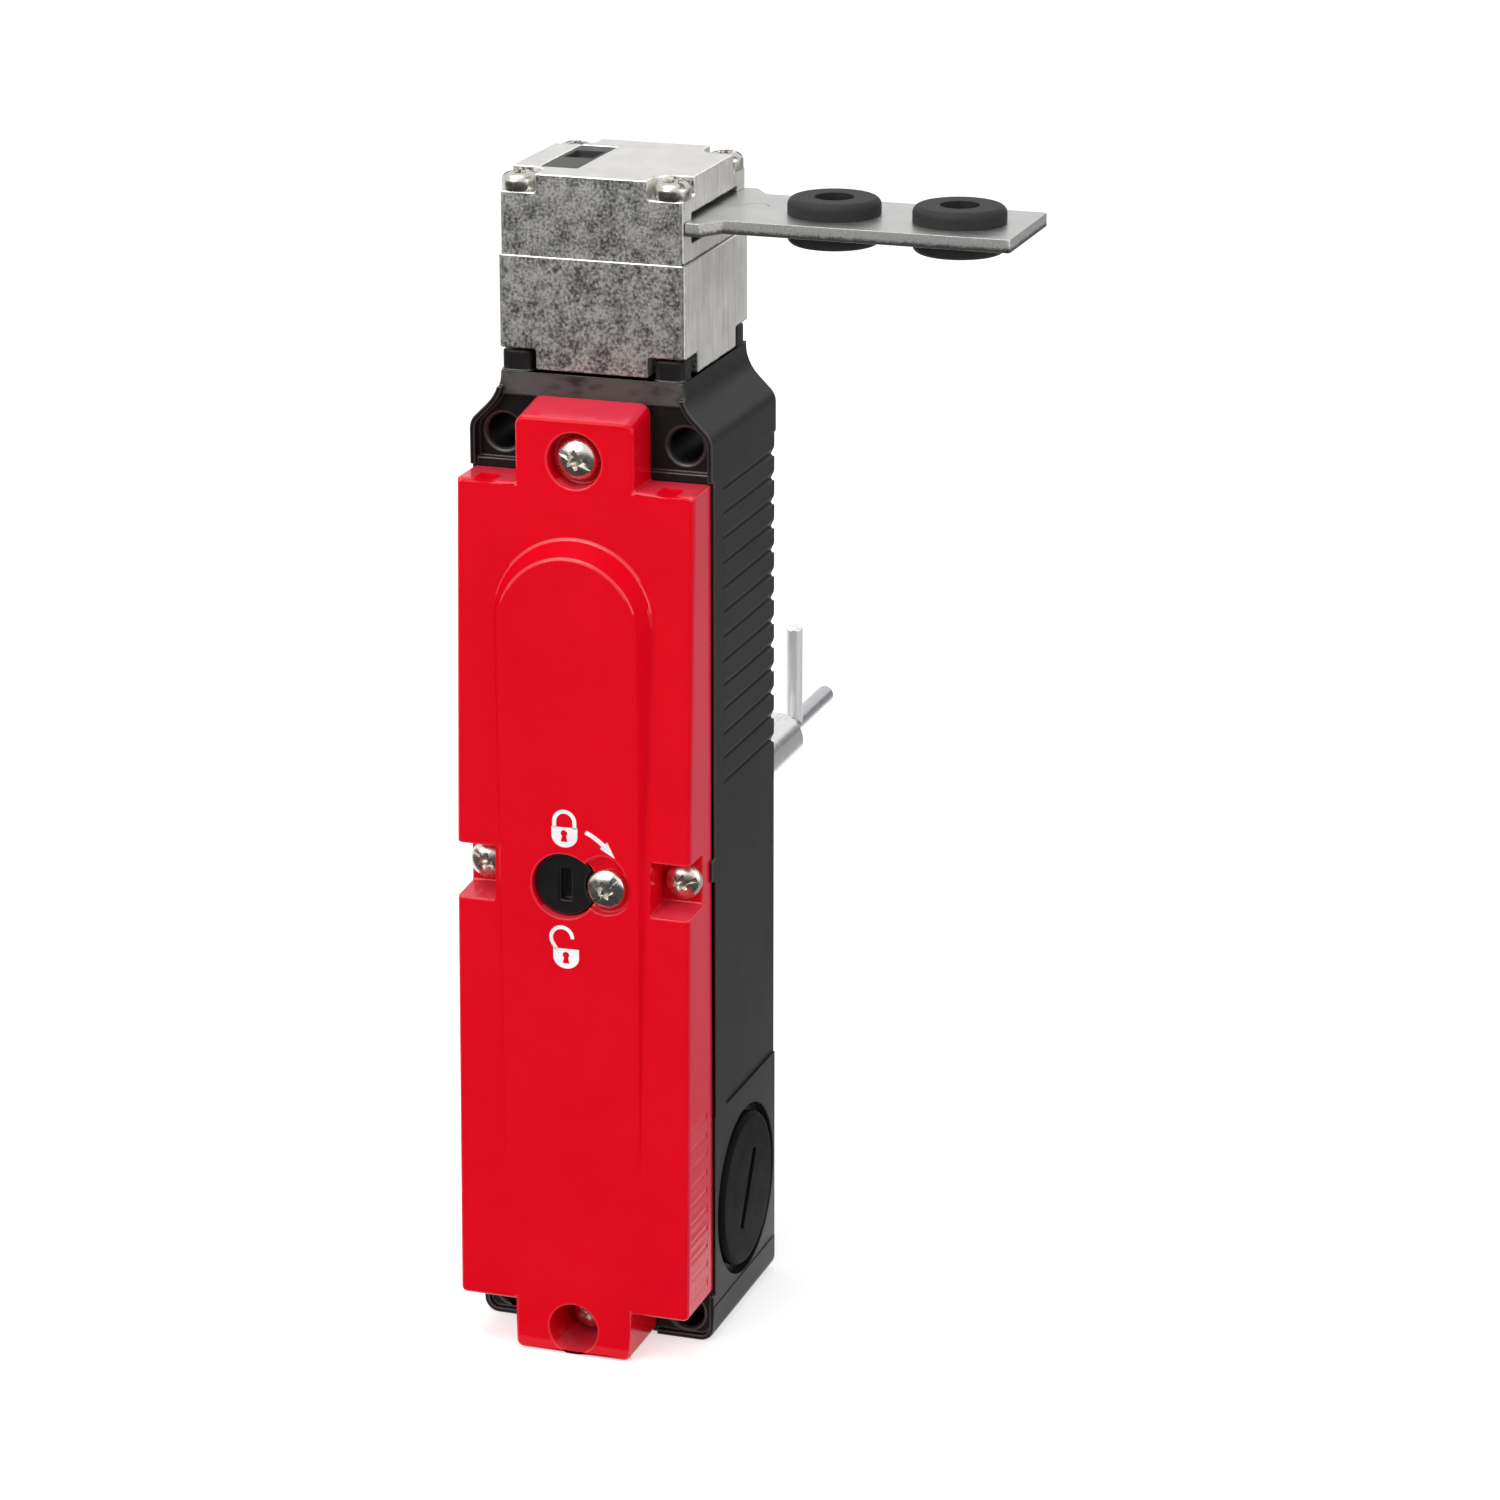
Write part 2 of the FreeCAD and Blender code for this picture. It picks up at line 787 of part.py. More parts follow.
def grip_grooves(side):
    grooves = []
    face = side * cover_half
    front = -cover_front_bottom + grip_front_gap
    for index in range(grip_count):
        low = cover_bottom + grip_low_gap + index * grip_pitch
        middle = low + grip_pitch * 0.3
        top = low + grip_pitch * 0.6
        outline = [(face + side * over, low), (face + side * over, top), (face, top),
                   (face - side * grip_depth, middle), (face, low)]
        grooves.append(prism_y(outline, front, front + grip_length))
    return grooves


def cover_hollow():
    """Room behind the cover, one wall thick all round, less the bosses of the screws and the key."""
    half = cover_half - cover_wall
    outline = [(-body_depth + over, cavity_bottom), (-body_depth + over, cavity_top),
               (-cover_front_top + cover_wall, cavity_top), (-cover_front_middle + cover_wall, key_height),
               (-cover_front_bottom + cover_wall, cavity_bottom)]
    boss_end = -body_depth - key_room_gap
    keep = [rod("y", key_radius + key_boss_wall, (key_x, key_height), -far, boss_end),
            rod("y", lock_hole_radius + lock_boss_wall, (lock_screw_x, lock_screw_height), -far, boss_end)]
    for side in (-1, 1):
        keep.append(box(side * (side_notch_inner - side_boss_wall), side * body_width, -far, 0,
                        side_screw_height - side_boss_half, side_screw_height + side_boss_half))
    return prism_x(outline, -half, half).cut(Part.makeCompound(keep))


def make_cover():
    cuts = [cover_hollow()]
    shank = screw_shank_radius + shank_gap
    for side in (-1, 1):
        cuts.append(side_notch(side))
        cuts.append(rod("y", shank, (side * side_screw_x, side_screw_height), -far, 0))
        cuts.extend(grip_grooves(side))
    for z, bore, seat in ((top_screw_height, top_counterbore_radius, top_screw_seat),
                          (low_screw_height, low_counterbore_radius, low_screw_seat)):
        cuts.append(rod("y", bore, (0, z), -far, -body_depth - seat))
        cuts.append(rod("y", shank, (0, z), -far, 0))
    key_floor = -key_face + key_disc_thickness + seat_gap
    cuts.append(rod("y", key_radius + key_gap, (key_x, key_height), -far, key_floor))
    cuts.append(rod("y", key_shaft_radius + running_gap, (key_x, key_height), -far, 0))
    lock_floor = -key_face - seat_gap
    centre = (lock_screw_x, lock_screw_height)
    pocket = (lock_screw_x - lock_pocket_shift, lock_screw_height + lock_pocket_rise)
    cuts.append(rod("y", lock_recess_radius, centre, -far, lock_floor))
    cuts.append(rod("y", lock_pocket_radius, pocket, -far, lock_floor))
    cuts.append(rod("y", lock_hole_radius, centre, -far, -key_face + lock_hole_depth))
    return cut(fuse([cover_plate(), top_tab(), low_tab(), make_pad()]), cuts)


def drive_recess():
    """Six-lobed recess for a driver, cut down from z = 0."""
    star = [rod("z", recess_core_radius, (0, 0), -recess_depth, over)]
    for index in range(6):
        turn = math.radians(60 * index)
        lobe = (recess_lobe_reach * math.cos(turn), recess_lobe_reach * math.sin(turn))
        star.append(rod("z", recess_lobe_radius, lobe, -recess_depth, over))
    return fuse(star)


def screw_at_origin(head_radius, head_height, rounding, shank_radius, length):
    """Round-headed screw pointing down, the underside of its head at z = 0."""
    head = rod("z", head_radius, (0, 0), 0, head_height)
    head = head.makeFillet(rounding, edges_where(head, lambda m, w: near(m.z, head_height)))
    screw = fuse([head, rod("z", shank_radius, (0, 0), -length, head_height / 4)])
    recess = drive_recess()
    recess.translate(Vector(0, 0, head_height))
    half = recess_slot_width / 2
    slot = box(-head_radius, head_radius, -half, half, head_height - recess_slot_depth, head_height + over)
    return cut(screw, [recess, slot])


def facing_front(screw, turn, x, y, z):
    """Turns a screw's slot by an angle and its head to the front, and sets it in place."""
    screw.rotate(Vector(0, 0, 0), Vector(0, 0, 1), turn)
    screw.rotate(Vector(0, 0, 0), Vector(1, 0, 0), 90)
    screw.translate(Vector(x, y, z))
    return screw


def make_cover_screws():
    group = []
    for x, z, seat, grip, turn in ((0, top_screw_height, top_screw_seat, top_screw_grip, 70),
                                   (0, low_screw_height, low_screw_seat, low_screw_grip, 35),
                                   (-side_screw_x, side_screw_height, side_screw_seat, side_screw_grip, 55),
                                   (side_screw_x, side_screw_height, side_screw_seat, side_screw_grip, 15)):
        screw = screw_at_origin(screw_head_radius, screw_head_height, screw_head_round, screw_shank_radius,
                                seat + grip)
        group.append(facing_front(screw, turn, x, -body_depth - seat, z))
    return Part.makeCompound(group)


def make_lock_screw():
    screw = screw_at_origin(lock_head_radius, lock_head_height, screw_head_round, lock_shank_radius,
                            lock_shank_length)
    return facing_front(screw, 50, lock_screw_x, -key_face - 2 * seat_gap, lock_screw_height)


def make_key():
    face = -key_face
    disc = rod("y", key_radius, (key_x, key_height), face, face + key_disc_thickness)
    shaft = rod("y", key_shaft_radius, (key_x, key_height), face + over, -key_inner_end)
    pin = rod("y", key_pin_radius, (key_x, key_height + key_pin_offset), -key_inner_end - over,
              -key_inner_end + key_pin_length)
    half_width, half_length = key_slot_width / 2, key_slot_length / 2
    slot = box(key_x - half_width, key_x + half_width, face - over, face + key_slot_depth,
               key_height - half_length, key_height + half_length)
    border = box(key_x - half_width - key_border, key_x + half_width + key_border, face - over,
                 face + key_border_depth, key_height - half_length - key_border, key_height + half_length)
    bite = rod("y", lock_bite_radius, (lock_screw_x, lock_screw_height), face - over, face + lock_bite_depth)
    return cut(fuse([disc, shaft, pin]), [slot, border, bite])


def make_key_seal():
    inner = key_shaft_radius + running_gap
    back = -body_depth - key_seal_gap
    return tube("y", inner + key_seal_width, inner, (key_x, key_height), back - key_seal_depth, back)


def chamfered_block(half, z0, z1):
    block = box(-half, half, head_y - half, head_y + half, z0, z1)
    return block.makeChamfer(head_edge, edges_where(block, lambda m, w: near(abs(w.z), 1)))


def cam_room(z0, z1):
    half = cam_radius + cam_room_gap
    return box(cam_x - half, cam_x + half, cam_front - cam_side_gap, cam_back + cam_side_gap, z0, z1)


def make_head_base():
    cuts = [cam_room(cam_height - cam_radius - cam_room_gap, head_seam + over)]
    inner, outer = head_half - post_notch, head_half + over
    for sx, sy in corners:
        cuts.append(box(sx * inner, sx * outer, head_y + sy * inner, head_y + sy * outer,
                        head_bottom - over, head_bottom + post_notch_height))
    for x, y in screw_corners:
        cuts.append(rod("z", head_screw_radius + thread_gap, (x, y), head_bottom - over, head_seam + over))
    for y, radius in ((bolt_y, bolt_radius), (plunger_y, plunger_radius)):
        cuts.append(rod("z", radius + rod_clearance, (cam_x, y), head_bottom - over, cam_height))
    cuts.append(rod("y", cam_axle_radius, (cam_x, cam_height), cam_front - cam_axle_grip, head_back + over))
    return cut(chamfered_block(head_half, head_bottom, head_seam), cuts)


def make_cam_axle():
    end = head_back - cam_axle_end_gap
    return rod("y", cam_axle_radius, (cam_x, cam_height), cam_front - cam_axle_grip, end)


def screw_pocket(sx, sy):
    """Open corner pocket with a rounded inner wall, round one head screw."""
    x, y = sx * screw_reach, head_y + sy * screw_reach
    radius = head_screw_head + head_screw_pocket_gap
    out_x, out_y = sx * (head_half + over), head_y + sy * (head_half + over)
    top = head_top + over
    return [rod("z", radius, (x, y), head_pocket_floor, top),
            box(x, out_x, y - sy * radius, out_y, head_pocket_floor, top),
            box(x - sx * radius, out_x, y, out_y, head_pocket_floor, top),
            rod("z", head_screw_radius + thread_gap, (x, y), head_seam - over, top)]


def insert_block(gap, z0, z1):
    return box(insert_left + gap, insert_right - gap, insert_front + gap, insert_back - gap, z0, z1)


def make_head_cap():
    slot_half = tongue_width / 2 + slot_side_gap
    cuts = [cam_room(head_seam - over, cam_roof),
            box(bar_start - slot_end_gap, cap_half + over, head_y - slot_half, head_y + slot_half,
                tongue_bottom - slot_low_gap, tongue_top + slot_high_gap),
            insert_block(0, cam_roof - over, head_top + over)]
    for sx, sy in corners:
        cuts.extend(screw_pocket(sx, sy))
    return cut(chamfered_block(cap_half, head_seam, head_top), cuts)


def make_slot_insert():
    """Plastic filler of the unused top slot: two end tabs, a deep middle and a step at its back."""
    block = insert_block(insert_gap, cam_roof + insert_floor_gap, head_top - insert_top_gap)
    start, end = insert_front + insert_tab_front, insert_back - insert_tab_back
    left, right = insert_left + insert_wall, insert_right - insert_wall
    middle = box(left, right, start, end - insert_step_length, head_top - insert_middle_depth, head_top + over)
    step = box(left, right, start, end, head_top - insert_step_depth, head_top + over)
    return cut(block, [middle, step])


def make_head_screws():
    group = []
    for (x, y), turn in zip(screw_corners, (25, 80, -35, 10)):
        screw = screw_at_origin(head_screw_head, head_screw_head_height, head_screw_round, head_screw_radius,
                                head_pocket_floor - head_screw_end)
        screw.rotate(Vector(0, 0, 0), Vector(0, 0, 1), turn)
        screw.translate(Vector(x, y, head_pocket_floor))
        group.append(screw)
    return Part.makeCompound(group)


def make_head_gasket():
    wide, narrow = head_half - head_gasket_inset, head_half - post_notch - rim_gap
    plate = fuse([box(-narrow, narrow, head_y - wide, head_y + wide, body_top, head_bottom),
                  box(-wide, wide, head_y - narrow, head_y + narrow, body_top, head_bottom)])
    holes = [rod("z", radius + head_gasket_hole_gap, (cam_x, y), body_top - over, head_bottom + over)
             for y, radius in ((bolt_y, bolt_radius), (plunger_y, plunger_radius))]
    return cut(plate, holes)


def spiral_edge(low, high, start, turn):
    """Edge whose distance from the axis grows evenly with the angle: an even drive for the plunger."""
    points = []
    steps = 12
    for index in range(steps + 1):
        share = index / steps
        angle = start + turn * share
        radius = low + (high - low) * share
        points.append(Vector(radius * math.sin(angle), 0, radius * math.cos(angle)))
    curve = Part.BSplineCurve()
    curve.interpolate(points)
    return curve.toShape(), points[0], points[-1]


def bar_notch(y0, y1):
    """Notch that the tongue's bar rolls through, wider at its mouth than at its floor."""
    floor = cam_pitch_radius - tongue_thickness / 2 - bar_gap
    mouth = cam_radius + over
    outline = [(-notch_floor_half, floor), (notch_floor_half, floor), (notch_mouth_half, mouth),
               (-notch_mouth_half, mouth)]
    return prism_y(outline, y0, y1)


def ramp_cut(y0, y1):
    """What the plunger's ramp leaves out of the disc, over the angles that pass the plunger."""
    start = math.pi + cam_turn / 2 + ramp_margin
    turn = -(cam_turn + 2 * ramp_margin)
    extra = (ramp_high - ramp_low) * ramp_margin / cam_turn
    edge, first, last = spiral_edge(ramp_low - extra, ramp_high + extra, start, turn)
    outer_first = first * (ramp_clear / first.Length)
    outer_last = last * (ramp_clear / last.Length)
    middle = (outer_first + outer_last) * ramp_clear
    lines = [edge]
    path = [last, outer_last, middle, outer_first, first]
    for begin, finish in zip(path, path[1:]):
        lines.append(Part.LineSegment(begin, finish).toShape())
    face = Part.Face(Part.Wire(lines))
    face.translate(Vector(0, y0, 0))
    return face.extrude(Vector(0, y1 - y0, 0))


def make_cam_wheel():
    """Drawn with the bar notch straight up at the axis, then turned to the inserted position."""
    y0, y1 = -cam_width / 2, cam_width / 2
    y_lock = y0 + lock_disc_width
    y_ramp = y_lock + cam_split
    disc = rod("y", cam_radius, (0, 0), y0, y1)
    cuts = [rod("y", cam_axle_radius + running_gap, (0, 0), y0 - over, y1 + over),
            bar_notch(y0 - over, y1 + over),
            ramp_cut(y_ramp, y1 + over),
            tube("y", cam_radius + over, cam_radius - cam_split_depth, (0, 0), y_lock, y_ramp)]
    # The wheel turns by cam_turn from the inserted to the released position. The two lock
    # notches face the bolt at these two ends.
    half = lock_notch_width / 2
    for angle in (-cam_turn / 2, cam_turn / 2):
        notch = box(-half, half, y0 - over, y_lock, -cam_radius - over, -lock_notch_floor)
        notch.rotate(Vector(0, 0, 0), Vector(0, 1, 0), math.degrees(angle))
        cuts.append(notch)
    wheel = cut(disc, cuts)
    wheel.rotate(Vector(0, 0, 0), Vector(0, 1, 0), -math.degrees(cam_turn) / 2)
    wheel.translate(Vector(cam_x, head_y, cam_height))
    return wheel


def make_plunger():
    top = cam_height - ramp_low - plunger_gap
    stem = rod("z", plunger_radius, (cam_x, plunger_y), arm_top - over, top)
    stem = stem.makeFillet(plunger_tip_round, edges_where(stem, lambda m, w: near(m.z, top)))
    arm = box(cam_x - plunger_arm_half, plunger_arm_end, plunger_y - plunger_arm_half,
              plunger_y + plunger_arm_half, arm_top - plunger_arm_thickness, arm_top)
    legs = [rod("z", plunger_leg_radius, (x, plunger_y), bridge_top, arm_top - over) for x in leg_places]
    return fuse([stem, arm] + legs)


def make_contact_block():
    back = plunger_y + block_half_depth
    body = box(block_left, block_right, block_front, back, block_low, block_top)
    window = box(block_left + block_wall, block_right - block_wall, block_front - over,
                 plunger_y + block_window_back, bridge_top - bridge_room_low, bridge_top + bridge_room_high)
    guides = [rod("z", plunger_leg_radius + plunger_gap, (x, plunger_y), bridge_top, block_top + over)
              for x in leg_places]
    foot_low = block_low + block_foot_low
    foot = box(block_left + block_foot_inset, block_right - block_foot_inset, back - rod_clearance, -rear_wall,
               foot_low, foot_low + block_foot_height)
    return cut(fuse([body, foot]), [window] + guides)


def make_contact_bridge():
    return box(block_left + bridge_end_gap, block_right - bridge_end_gap, plunger_y - bridge_half_width,
               plunger_y + bridge_half_width, bridge_top - bridge_thickness, bridge_top)


def make_terminals():
    group = []
    face = block_front - terminal_height
    half = terminal_slot_width / 2
    for x in (block_left + terminal_inset, block_right - terminal_inset):
        for z in (block_low + terminal_low, block_low + terminal_low + terminal_pitch):
            head = rod("y", terminal_radius, (x, z), face, block_front)
            slot = box(x - far, x + far, face - over, face + terminal_slot_depth, z - half, z + half)
            group.append(cut(head, [slot]))
    return Part.makeCompound(group)


def make_bolt():
    """Locking bolt: tip under the wheel, long rod, and a window plate for key and escape cam."""
    top = cam_height - cam_radius - bolt_gap
    stem = rod("z", bolt_radius, (cam_x, bolt_y), plate_top - over, top)
    stem = stem.makeChamfer(bolt_tip_chamfer, edges_where(stem, lambda m, w: near(m.z, top)))
    plate = box(plate_left, plate_right, bolt_y - plate_half_thickness, bolt_y + plate_half_thickness,
                plate_low, plate_top)
    left, right = key_x - bolt_window_half, key_x + bolt_window_half
    window = box(left, right, bolt_y - bolt_radius, bolt_y + bolt_radius,
                 key_height - bolt_window_rise - bolt_stroke, key_height + bolt_window_rise)
    return cut(fuse([stem, plate]), [window])


def make_armature():
    return rod("z", armature_radius, (cam_x, bolt_y), coil_low + armature_rest_gap, plate_low)


def make_bobbin():
    inner = armature_radius + armature_gap
    core = tube("z", inner + bobbin_wall, inner, (cam_x, bolt_y), coil_low, coil_top)
    low = tube("z", bobbin_radius, inner, (cam_x, bolt_y), coil_low, coil_low + bobbin_flange)
    high = tube("z", bobbin_radius, inner, (cam_x, bolt_y), coil_top - bobbin_flange, coil_top)
    return fuse([core, low, high])


def make_coil():
    return tube("z", coil_radius, armature_radius + armature_gap + bobbin_wall, (cam_x, bolt_y),
                coil_low + bobbin_flange, coil_top - bobbin_flange)


def make_yoke():
    left, right = cam_x - yoke_half, cam_x + yoke_half
    front = bolt_y - yoke_front
    bottom, top = coil_low - yoke_thickness, coil_top + yoke_thickness
    low = box(left, right, front, -rear_wall, bottom, coil_low)
    high = box(left, right, front, -rear_wall, coil_top, top)
    back = box(left, right, -rear_wall - yoke_thickness, -rear_wall, bottom, top)
    bore = rod("z", armature_radius + yoke_bore_gap, (cam_x, bolt_y), coil_top - over, top + over)
    stop = rod("z", armature_radius, (cam_x, bolt_y), coil_low - over, coil_low + yoke_stop_height)
    return fuse([cut(fuse([low, high, back]), [bore]), stop])


def make_tongue():
    y0, y1 = head_y - tongue_width / 2, head_y + tongue_width / 2
    wing0, wing1 = head_y - wing_width / 2, head_y + wing_width / 2
    flat = wing_start + wing_flat
    slope = flat + wing_slope
    near_side = [(bar_start, y0), (wing_start, y0), (wing_start, wing0),
                 (flat, wing0), (slope, y0), (tongue_end, y0)]
    far_side = [(tongue_end, y1), (slope, y1), (flat, wing1),
                (wing_start, wing1), (wing_start, y1), (bar_start, y1)]
    sheet = prism_z(near_side + far_side, tongue_bottom, tongue_top)
    sheet = sheet.makeFillet(tongue_inner_round, edges_where(
        sheet, lambda m, w: near(abs(w.z), 1) and near(m.x, bar_start)))
    sheet = sheet.makeFillet(tongue_end_round, edges_where(
        sheet, lambda m, w: near(abs(w.z), 1) and near(m.x, tongue_end)))
    low, high = tongue_bottom - over, tongue_top + over
    window = box(bar_start + bar_length, cam_x + window_reach, cam_front - window_side_gap,
                 cam_back + window_side_gap, low, high)
    holes = [rod("z", bush_waist, (bush_start + index * bush_gap, head_y), low, high) for index in range(2)]
    ring = tube("z", mark_radius, mark_radius - mark_width, (mark_x, mark_y), tongue_top - mark_depth, high)
    mark = ring.common(box(mark_x - far, mark_x + far, mark_y, mark_y + far, low, high))
    return cut(sheet, [window, mark] + holes)


def make_bush(index):
    """Rubber grommet: two round-edged flanges and a waist that fills the hole in the tongue."""
    centre = (bush_start + index * bush_gap, head_y)
    high, low = tongue_top + bush_flange, tongue_bottom - bush_flange
    upper = rod("z", bush_radius, centre, tongue_top, high)
    upper = upper.makeFillet(bush_round, edges_where(upper, lambda m, w: near(m.z, high)))
    lower = rod("z", bush_radius, centre, low, tongue_bottom)
    lower = lower.makeFillet(bush_round, edges_where(lower, lambda m, w: near(m.z, low)))
    waist = rod("z", bush_waist, centre, tongue_bottom, tongue_top)
    bore = rod("z", bush_bore, centre, low - over, high + over)
    return cut(fuse([upper, waist, lower]), [bore])


def plug_at_origin():
    """Blanking plug with its outer face at z = 0, pointing up, its slot along X."""
    head = rod("z", plug_radius, (0, 0), -plug_head_thickness, 0)
    head = head.makeFillet(plug_round, edges_where(head, lambda m, w: near(m.z, 0)))
    shank = rod("z", plug_shank_radius, (0, 0), -plug_length, -plug_head_thickness + running_gap)
    hollow = rod("z", plug_shank_radius - plug_wall, (0, 0), -plug_length - over, -plug_cap_thickness)
    slot = box(-plug_slot_length / 2, plug_slot_length / 2, -plug_slot_width / 2, plug_slot_width / 2,
               -plug_slot_depth, over)
    return cut(fuse([head, shank]), [hollow, slot])


def seal_at_origin():
    return tube("z", plug_seal_radius, entry_hole_radius + running_gap, (0, 0), -plug_floor,
                -plug_head_thickness - hairline)


def entry_places():
    """Name and place of the three cable entries."""
    up = Vector(0, 1, 0)
    side = body_half + plug_proud
    right = FreeCAD.Placement(Vector(side, -entry_y, entry_height), FreeCAD.Rotation(up, 90))
    left = FreeCAD.Placement(Vector(-side, -entry_y, entry_height), FreeCAD.Rotation(up, -90))
    bottom = FreeCAD.Placement(Vector(0, -entry_y, plug_sink), FreeCAD.Rotation(up, 180))
    return {"right": right, "left": left, "bottom": bottom}


def make_plug(place):
    plug = plug_at_origin()
    plug.rotate(Vector(0, 0, 0), Vector(0, 0, 1), -plug_slot_turn)
    plug.Placement = place.multiply(plug.Placement)
    return plug


def make_plug_seals():
    seals = []
    for place in entry_places().values():
        seal = seal_at_origin()
        seal.Placement = place.multiply(seal.Placement)
        seals.append(seal)
    return Part.makeCompound(seals)


def make_escape_shaft():
    centre = (0, escape_height)
    shaft = rod("y", escape_radius, centre, -escape_inner, escape_length)
    shaft = shaft.makeChamfer(escape_end_chamfer, edges_where(shaft, lambda m, w: near(m.y, escape_length)))
    bore = rod("y", escape_pin_radius, centre, escape_length - escape_pin_sunk, escape_length + over)
    groove_floor = escape_radius - escape_groove_depth
    groove = tube("y", escape_radius + over, groove_floor, centre, -escape_groove_start,
                  -escape_groove_start + escape_groove_width)
    return cut(shaft, [bore, groove])


def make_escape_axial_pin():
    start = escape_length - escape_pin_sunk
    end = start + escape_pin_length
    pin = rod("y", escape_pin_radius, (0, escape_height), start, end)
    return pin.makeFillet(escape_pin_round, edges_where(pin, lambda m, w: near(m.y, end)))


def make_escape_cross_pin():
    y = escape_length + escape_cross_inset
    top = escape_height + escape_cross_length
    pin = rod("z", escape_pin_radius, (0, y), escape_height, top)
    pin = pin.makeFillet(escape_pin_round, edges_where(pin, lambda m, w: near(m.z, top)))
    return cut(pin, [rod("y", escape_pin_radius, (0, escape_height), y - escape_radius, y + escape_radius)])


def make_escape_bush():
    centre, bore = (0, escape_height), escape_radius + running_gap
    return fuse([tube("y", escape_bush_radius, bore, centre, -escape_bush_length, 0),
                 tube("y", escape_flange_radius, bore, centre, -escape_flange_depth, 0)])


def make_escape_clip():
    start = -escape_groove_start + escape_clip_gap
    end = -escape_groove_start + escape_groove_width - escape_clip_gap
    clip = tube("y", escape_radius + escape_clip_width, escape_radius - escape_groove_depth + escape_clip_gap,
                (0, escape_height), start, end)
    opening = box(-escape_clip_opening, escape_clip_opening, start - over, end + over, escape_height - far,
                  escape_height)
    return cut(clip, [opening])


def make_escape_cam():
    back = -escape_inner
    disc = rod("y", escape_cam_radius, (0, escape_height), back - escape_cam_thickness, back)
    return cut(disc, [box(-far, far, back - far, 0, escape_height - far, escape_height - escape_cam_flat)])


def make_board():
    top = cavity_top - board_top_gap
    low = top - board_height
    right = board_left + board_width
    foot_end = -rear_wall - board_lift - board_foot_sink
    board = box(board_left, right, -board_front, -board_front + board_thickness, low, top)
    feet = []
    for x in (board_left + board_foot_inset, right - board_foot_inset):
        for z in (low + board_foot_inset, top - board_foot_inset):
            feet.append(rod("y", board_foot_radius, (x, z), foot_end, -rear_wall))
    return fuse([board] + feet)


def make_terminal_block():
    front = -board_front - strip_depth
    low = strip_top - strip_height
    middle = strip_left + strip_width / 2
    body = box(strip_left, strip_left + strip_width, front, -board_front, low, strip_top)
    holes = []
    for index in range(strip_hole_count):
        height = low + strip_hole_inset + index * strip_hole_pitch
        holes.append(rod("y", strip_hole_radius, (middle, height), front - over, front + strip_hole_depth))
    return cut(body, holes)


def make_earth_screw():
    screw = screw_at_origin(earth_head_radius, earth_head_height, screw_head_round, earth_shank_radius,
                            earth_seat)
    return facing_front(screw, 20, earth_x, -rear_wall - earth_seat, earth_height)


def save(name, shape):
    moved = shape.copy()
    moved.translate(Vector(0, 0, -origin_height))
    moved.exportStep("parts/" + name + ".step")
    print(name, round(moved.Volume, 1), moved.isValid(), len(moved.Solids))


os.makedirs("parts", exist_ok=True)

save("housing", make_housing())
save("cover_gasket", gasket_ring(gasket_depth))
save("red_cover", make_cover())
save("cover_screws", make_cover_screws())
save("release_key", make_key())
save("key_seal_ring", make_key_seal())
save("key_lock_screw", make_lock_screw())
save("head_base", make_head_base())
save("head_cap", make_head_cap())
save("head_gasket", make_head_gasket())
save("head_screws", make_head_screws())
save("slot_insert", make_slot_insert())
save("cam_axle", make_cam_axle())
save("cam_wheel", make_cam_wheel())
save("cam_plunger", make_plunger())
save("contact_block", make_contact_block())
save("contact_bridge", make_contact_bridge())
save("contact_terminals", make_terminals())
save("locking_bolt", make_bolt())
save("solenoid_armature", make_armature())
save("coil_bobbin", make_bobbin())
save("solenoid_coil", make_coil())
save("solenoid_yoke", make_yoke())
save("tongue", make_tongue())
save("bush_inner", make_bush(0))
save("bush_outer", make_bush(1))
for entry, spot in entry_places().items():
    save("entry_plug_" + entry, make_plug(spot))
save("plug_seals", make_plug_seals())
save("escape_shaft", make_escape_shaft())
save("escape_axial_pin", make_escape_axial_pin())
save("escape_cross_pin", make_escape_cross_pin())
save("escape_bush", make_escape_bush())
save("escape_clip", make_escape_clip())
save("escape_cam", make_escape_cam())
save("circuit_board", make_board())
save("terminal_block", make_terminal_block())
save("earth_screw", make_earth_screw())
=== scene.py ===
import json
import math

import bmesh
import bpy
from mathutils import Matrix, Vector

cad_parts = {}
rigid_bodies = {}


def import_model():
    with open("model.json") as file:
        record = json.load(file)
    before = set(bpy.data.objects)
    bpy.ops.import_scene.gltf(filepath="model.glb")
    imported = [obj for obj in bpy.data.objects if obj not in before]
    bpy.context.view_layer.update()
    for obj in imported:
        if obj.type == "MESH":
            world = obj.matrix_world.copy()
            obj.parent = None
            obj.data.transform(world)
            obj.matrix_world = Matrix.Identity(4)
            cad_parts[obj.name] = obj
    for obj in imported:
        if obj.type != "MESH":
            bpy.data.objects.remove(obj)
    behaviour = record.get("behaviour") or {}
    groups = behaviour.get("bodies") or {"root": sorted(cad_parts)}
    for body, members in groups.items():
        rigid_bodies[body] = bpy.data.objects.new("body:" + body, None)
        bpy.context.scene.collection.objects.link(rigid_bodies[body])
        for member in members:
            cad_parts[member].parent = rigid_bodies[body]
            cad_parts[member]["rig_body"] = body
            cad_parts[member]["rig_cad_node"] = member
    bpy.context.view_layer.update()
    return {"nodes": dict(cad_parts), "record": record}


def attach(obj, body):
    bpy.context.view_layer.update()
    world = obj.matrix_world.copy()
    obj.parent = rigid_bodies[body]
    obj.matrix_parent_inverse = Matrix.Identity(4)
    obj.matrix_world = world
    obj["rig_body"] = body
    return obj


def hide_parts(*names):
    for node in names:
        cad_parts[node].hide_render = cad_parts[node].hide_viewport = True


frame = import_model()
mm = 0.001
footDrop = 76.8  # the foot lies this far below the middle of the fixing holes
print("frame loaded:", len(frame["nodes"]), "nodes")


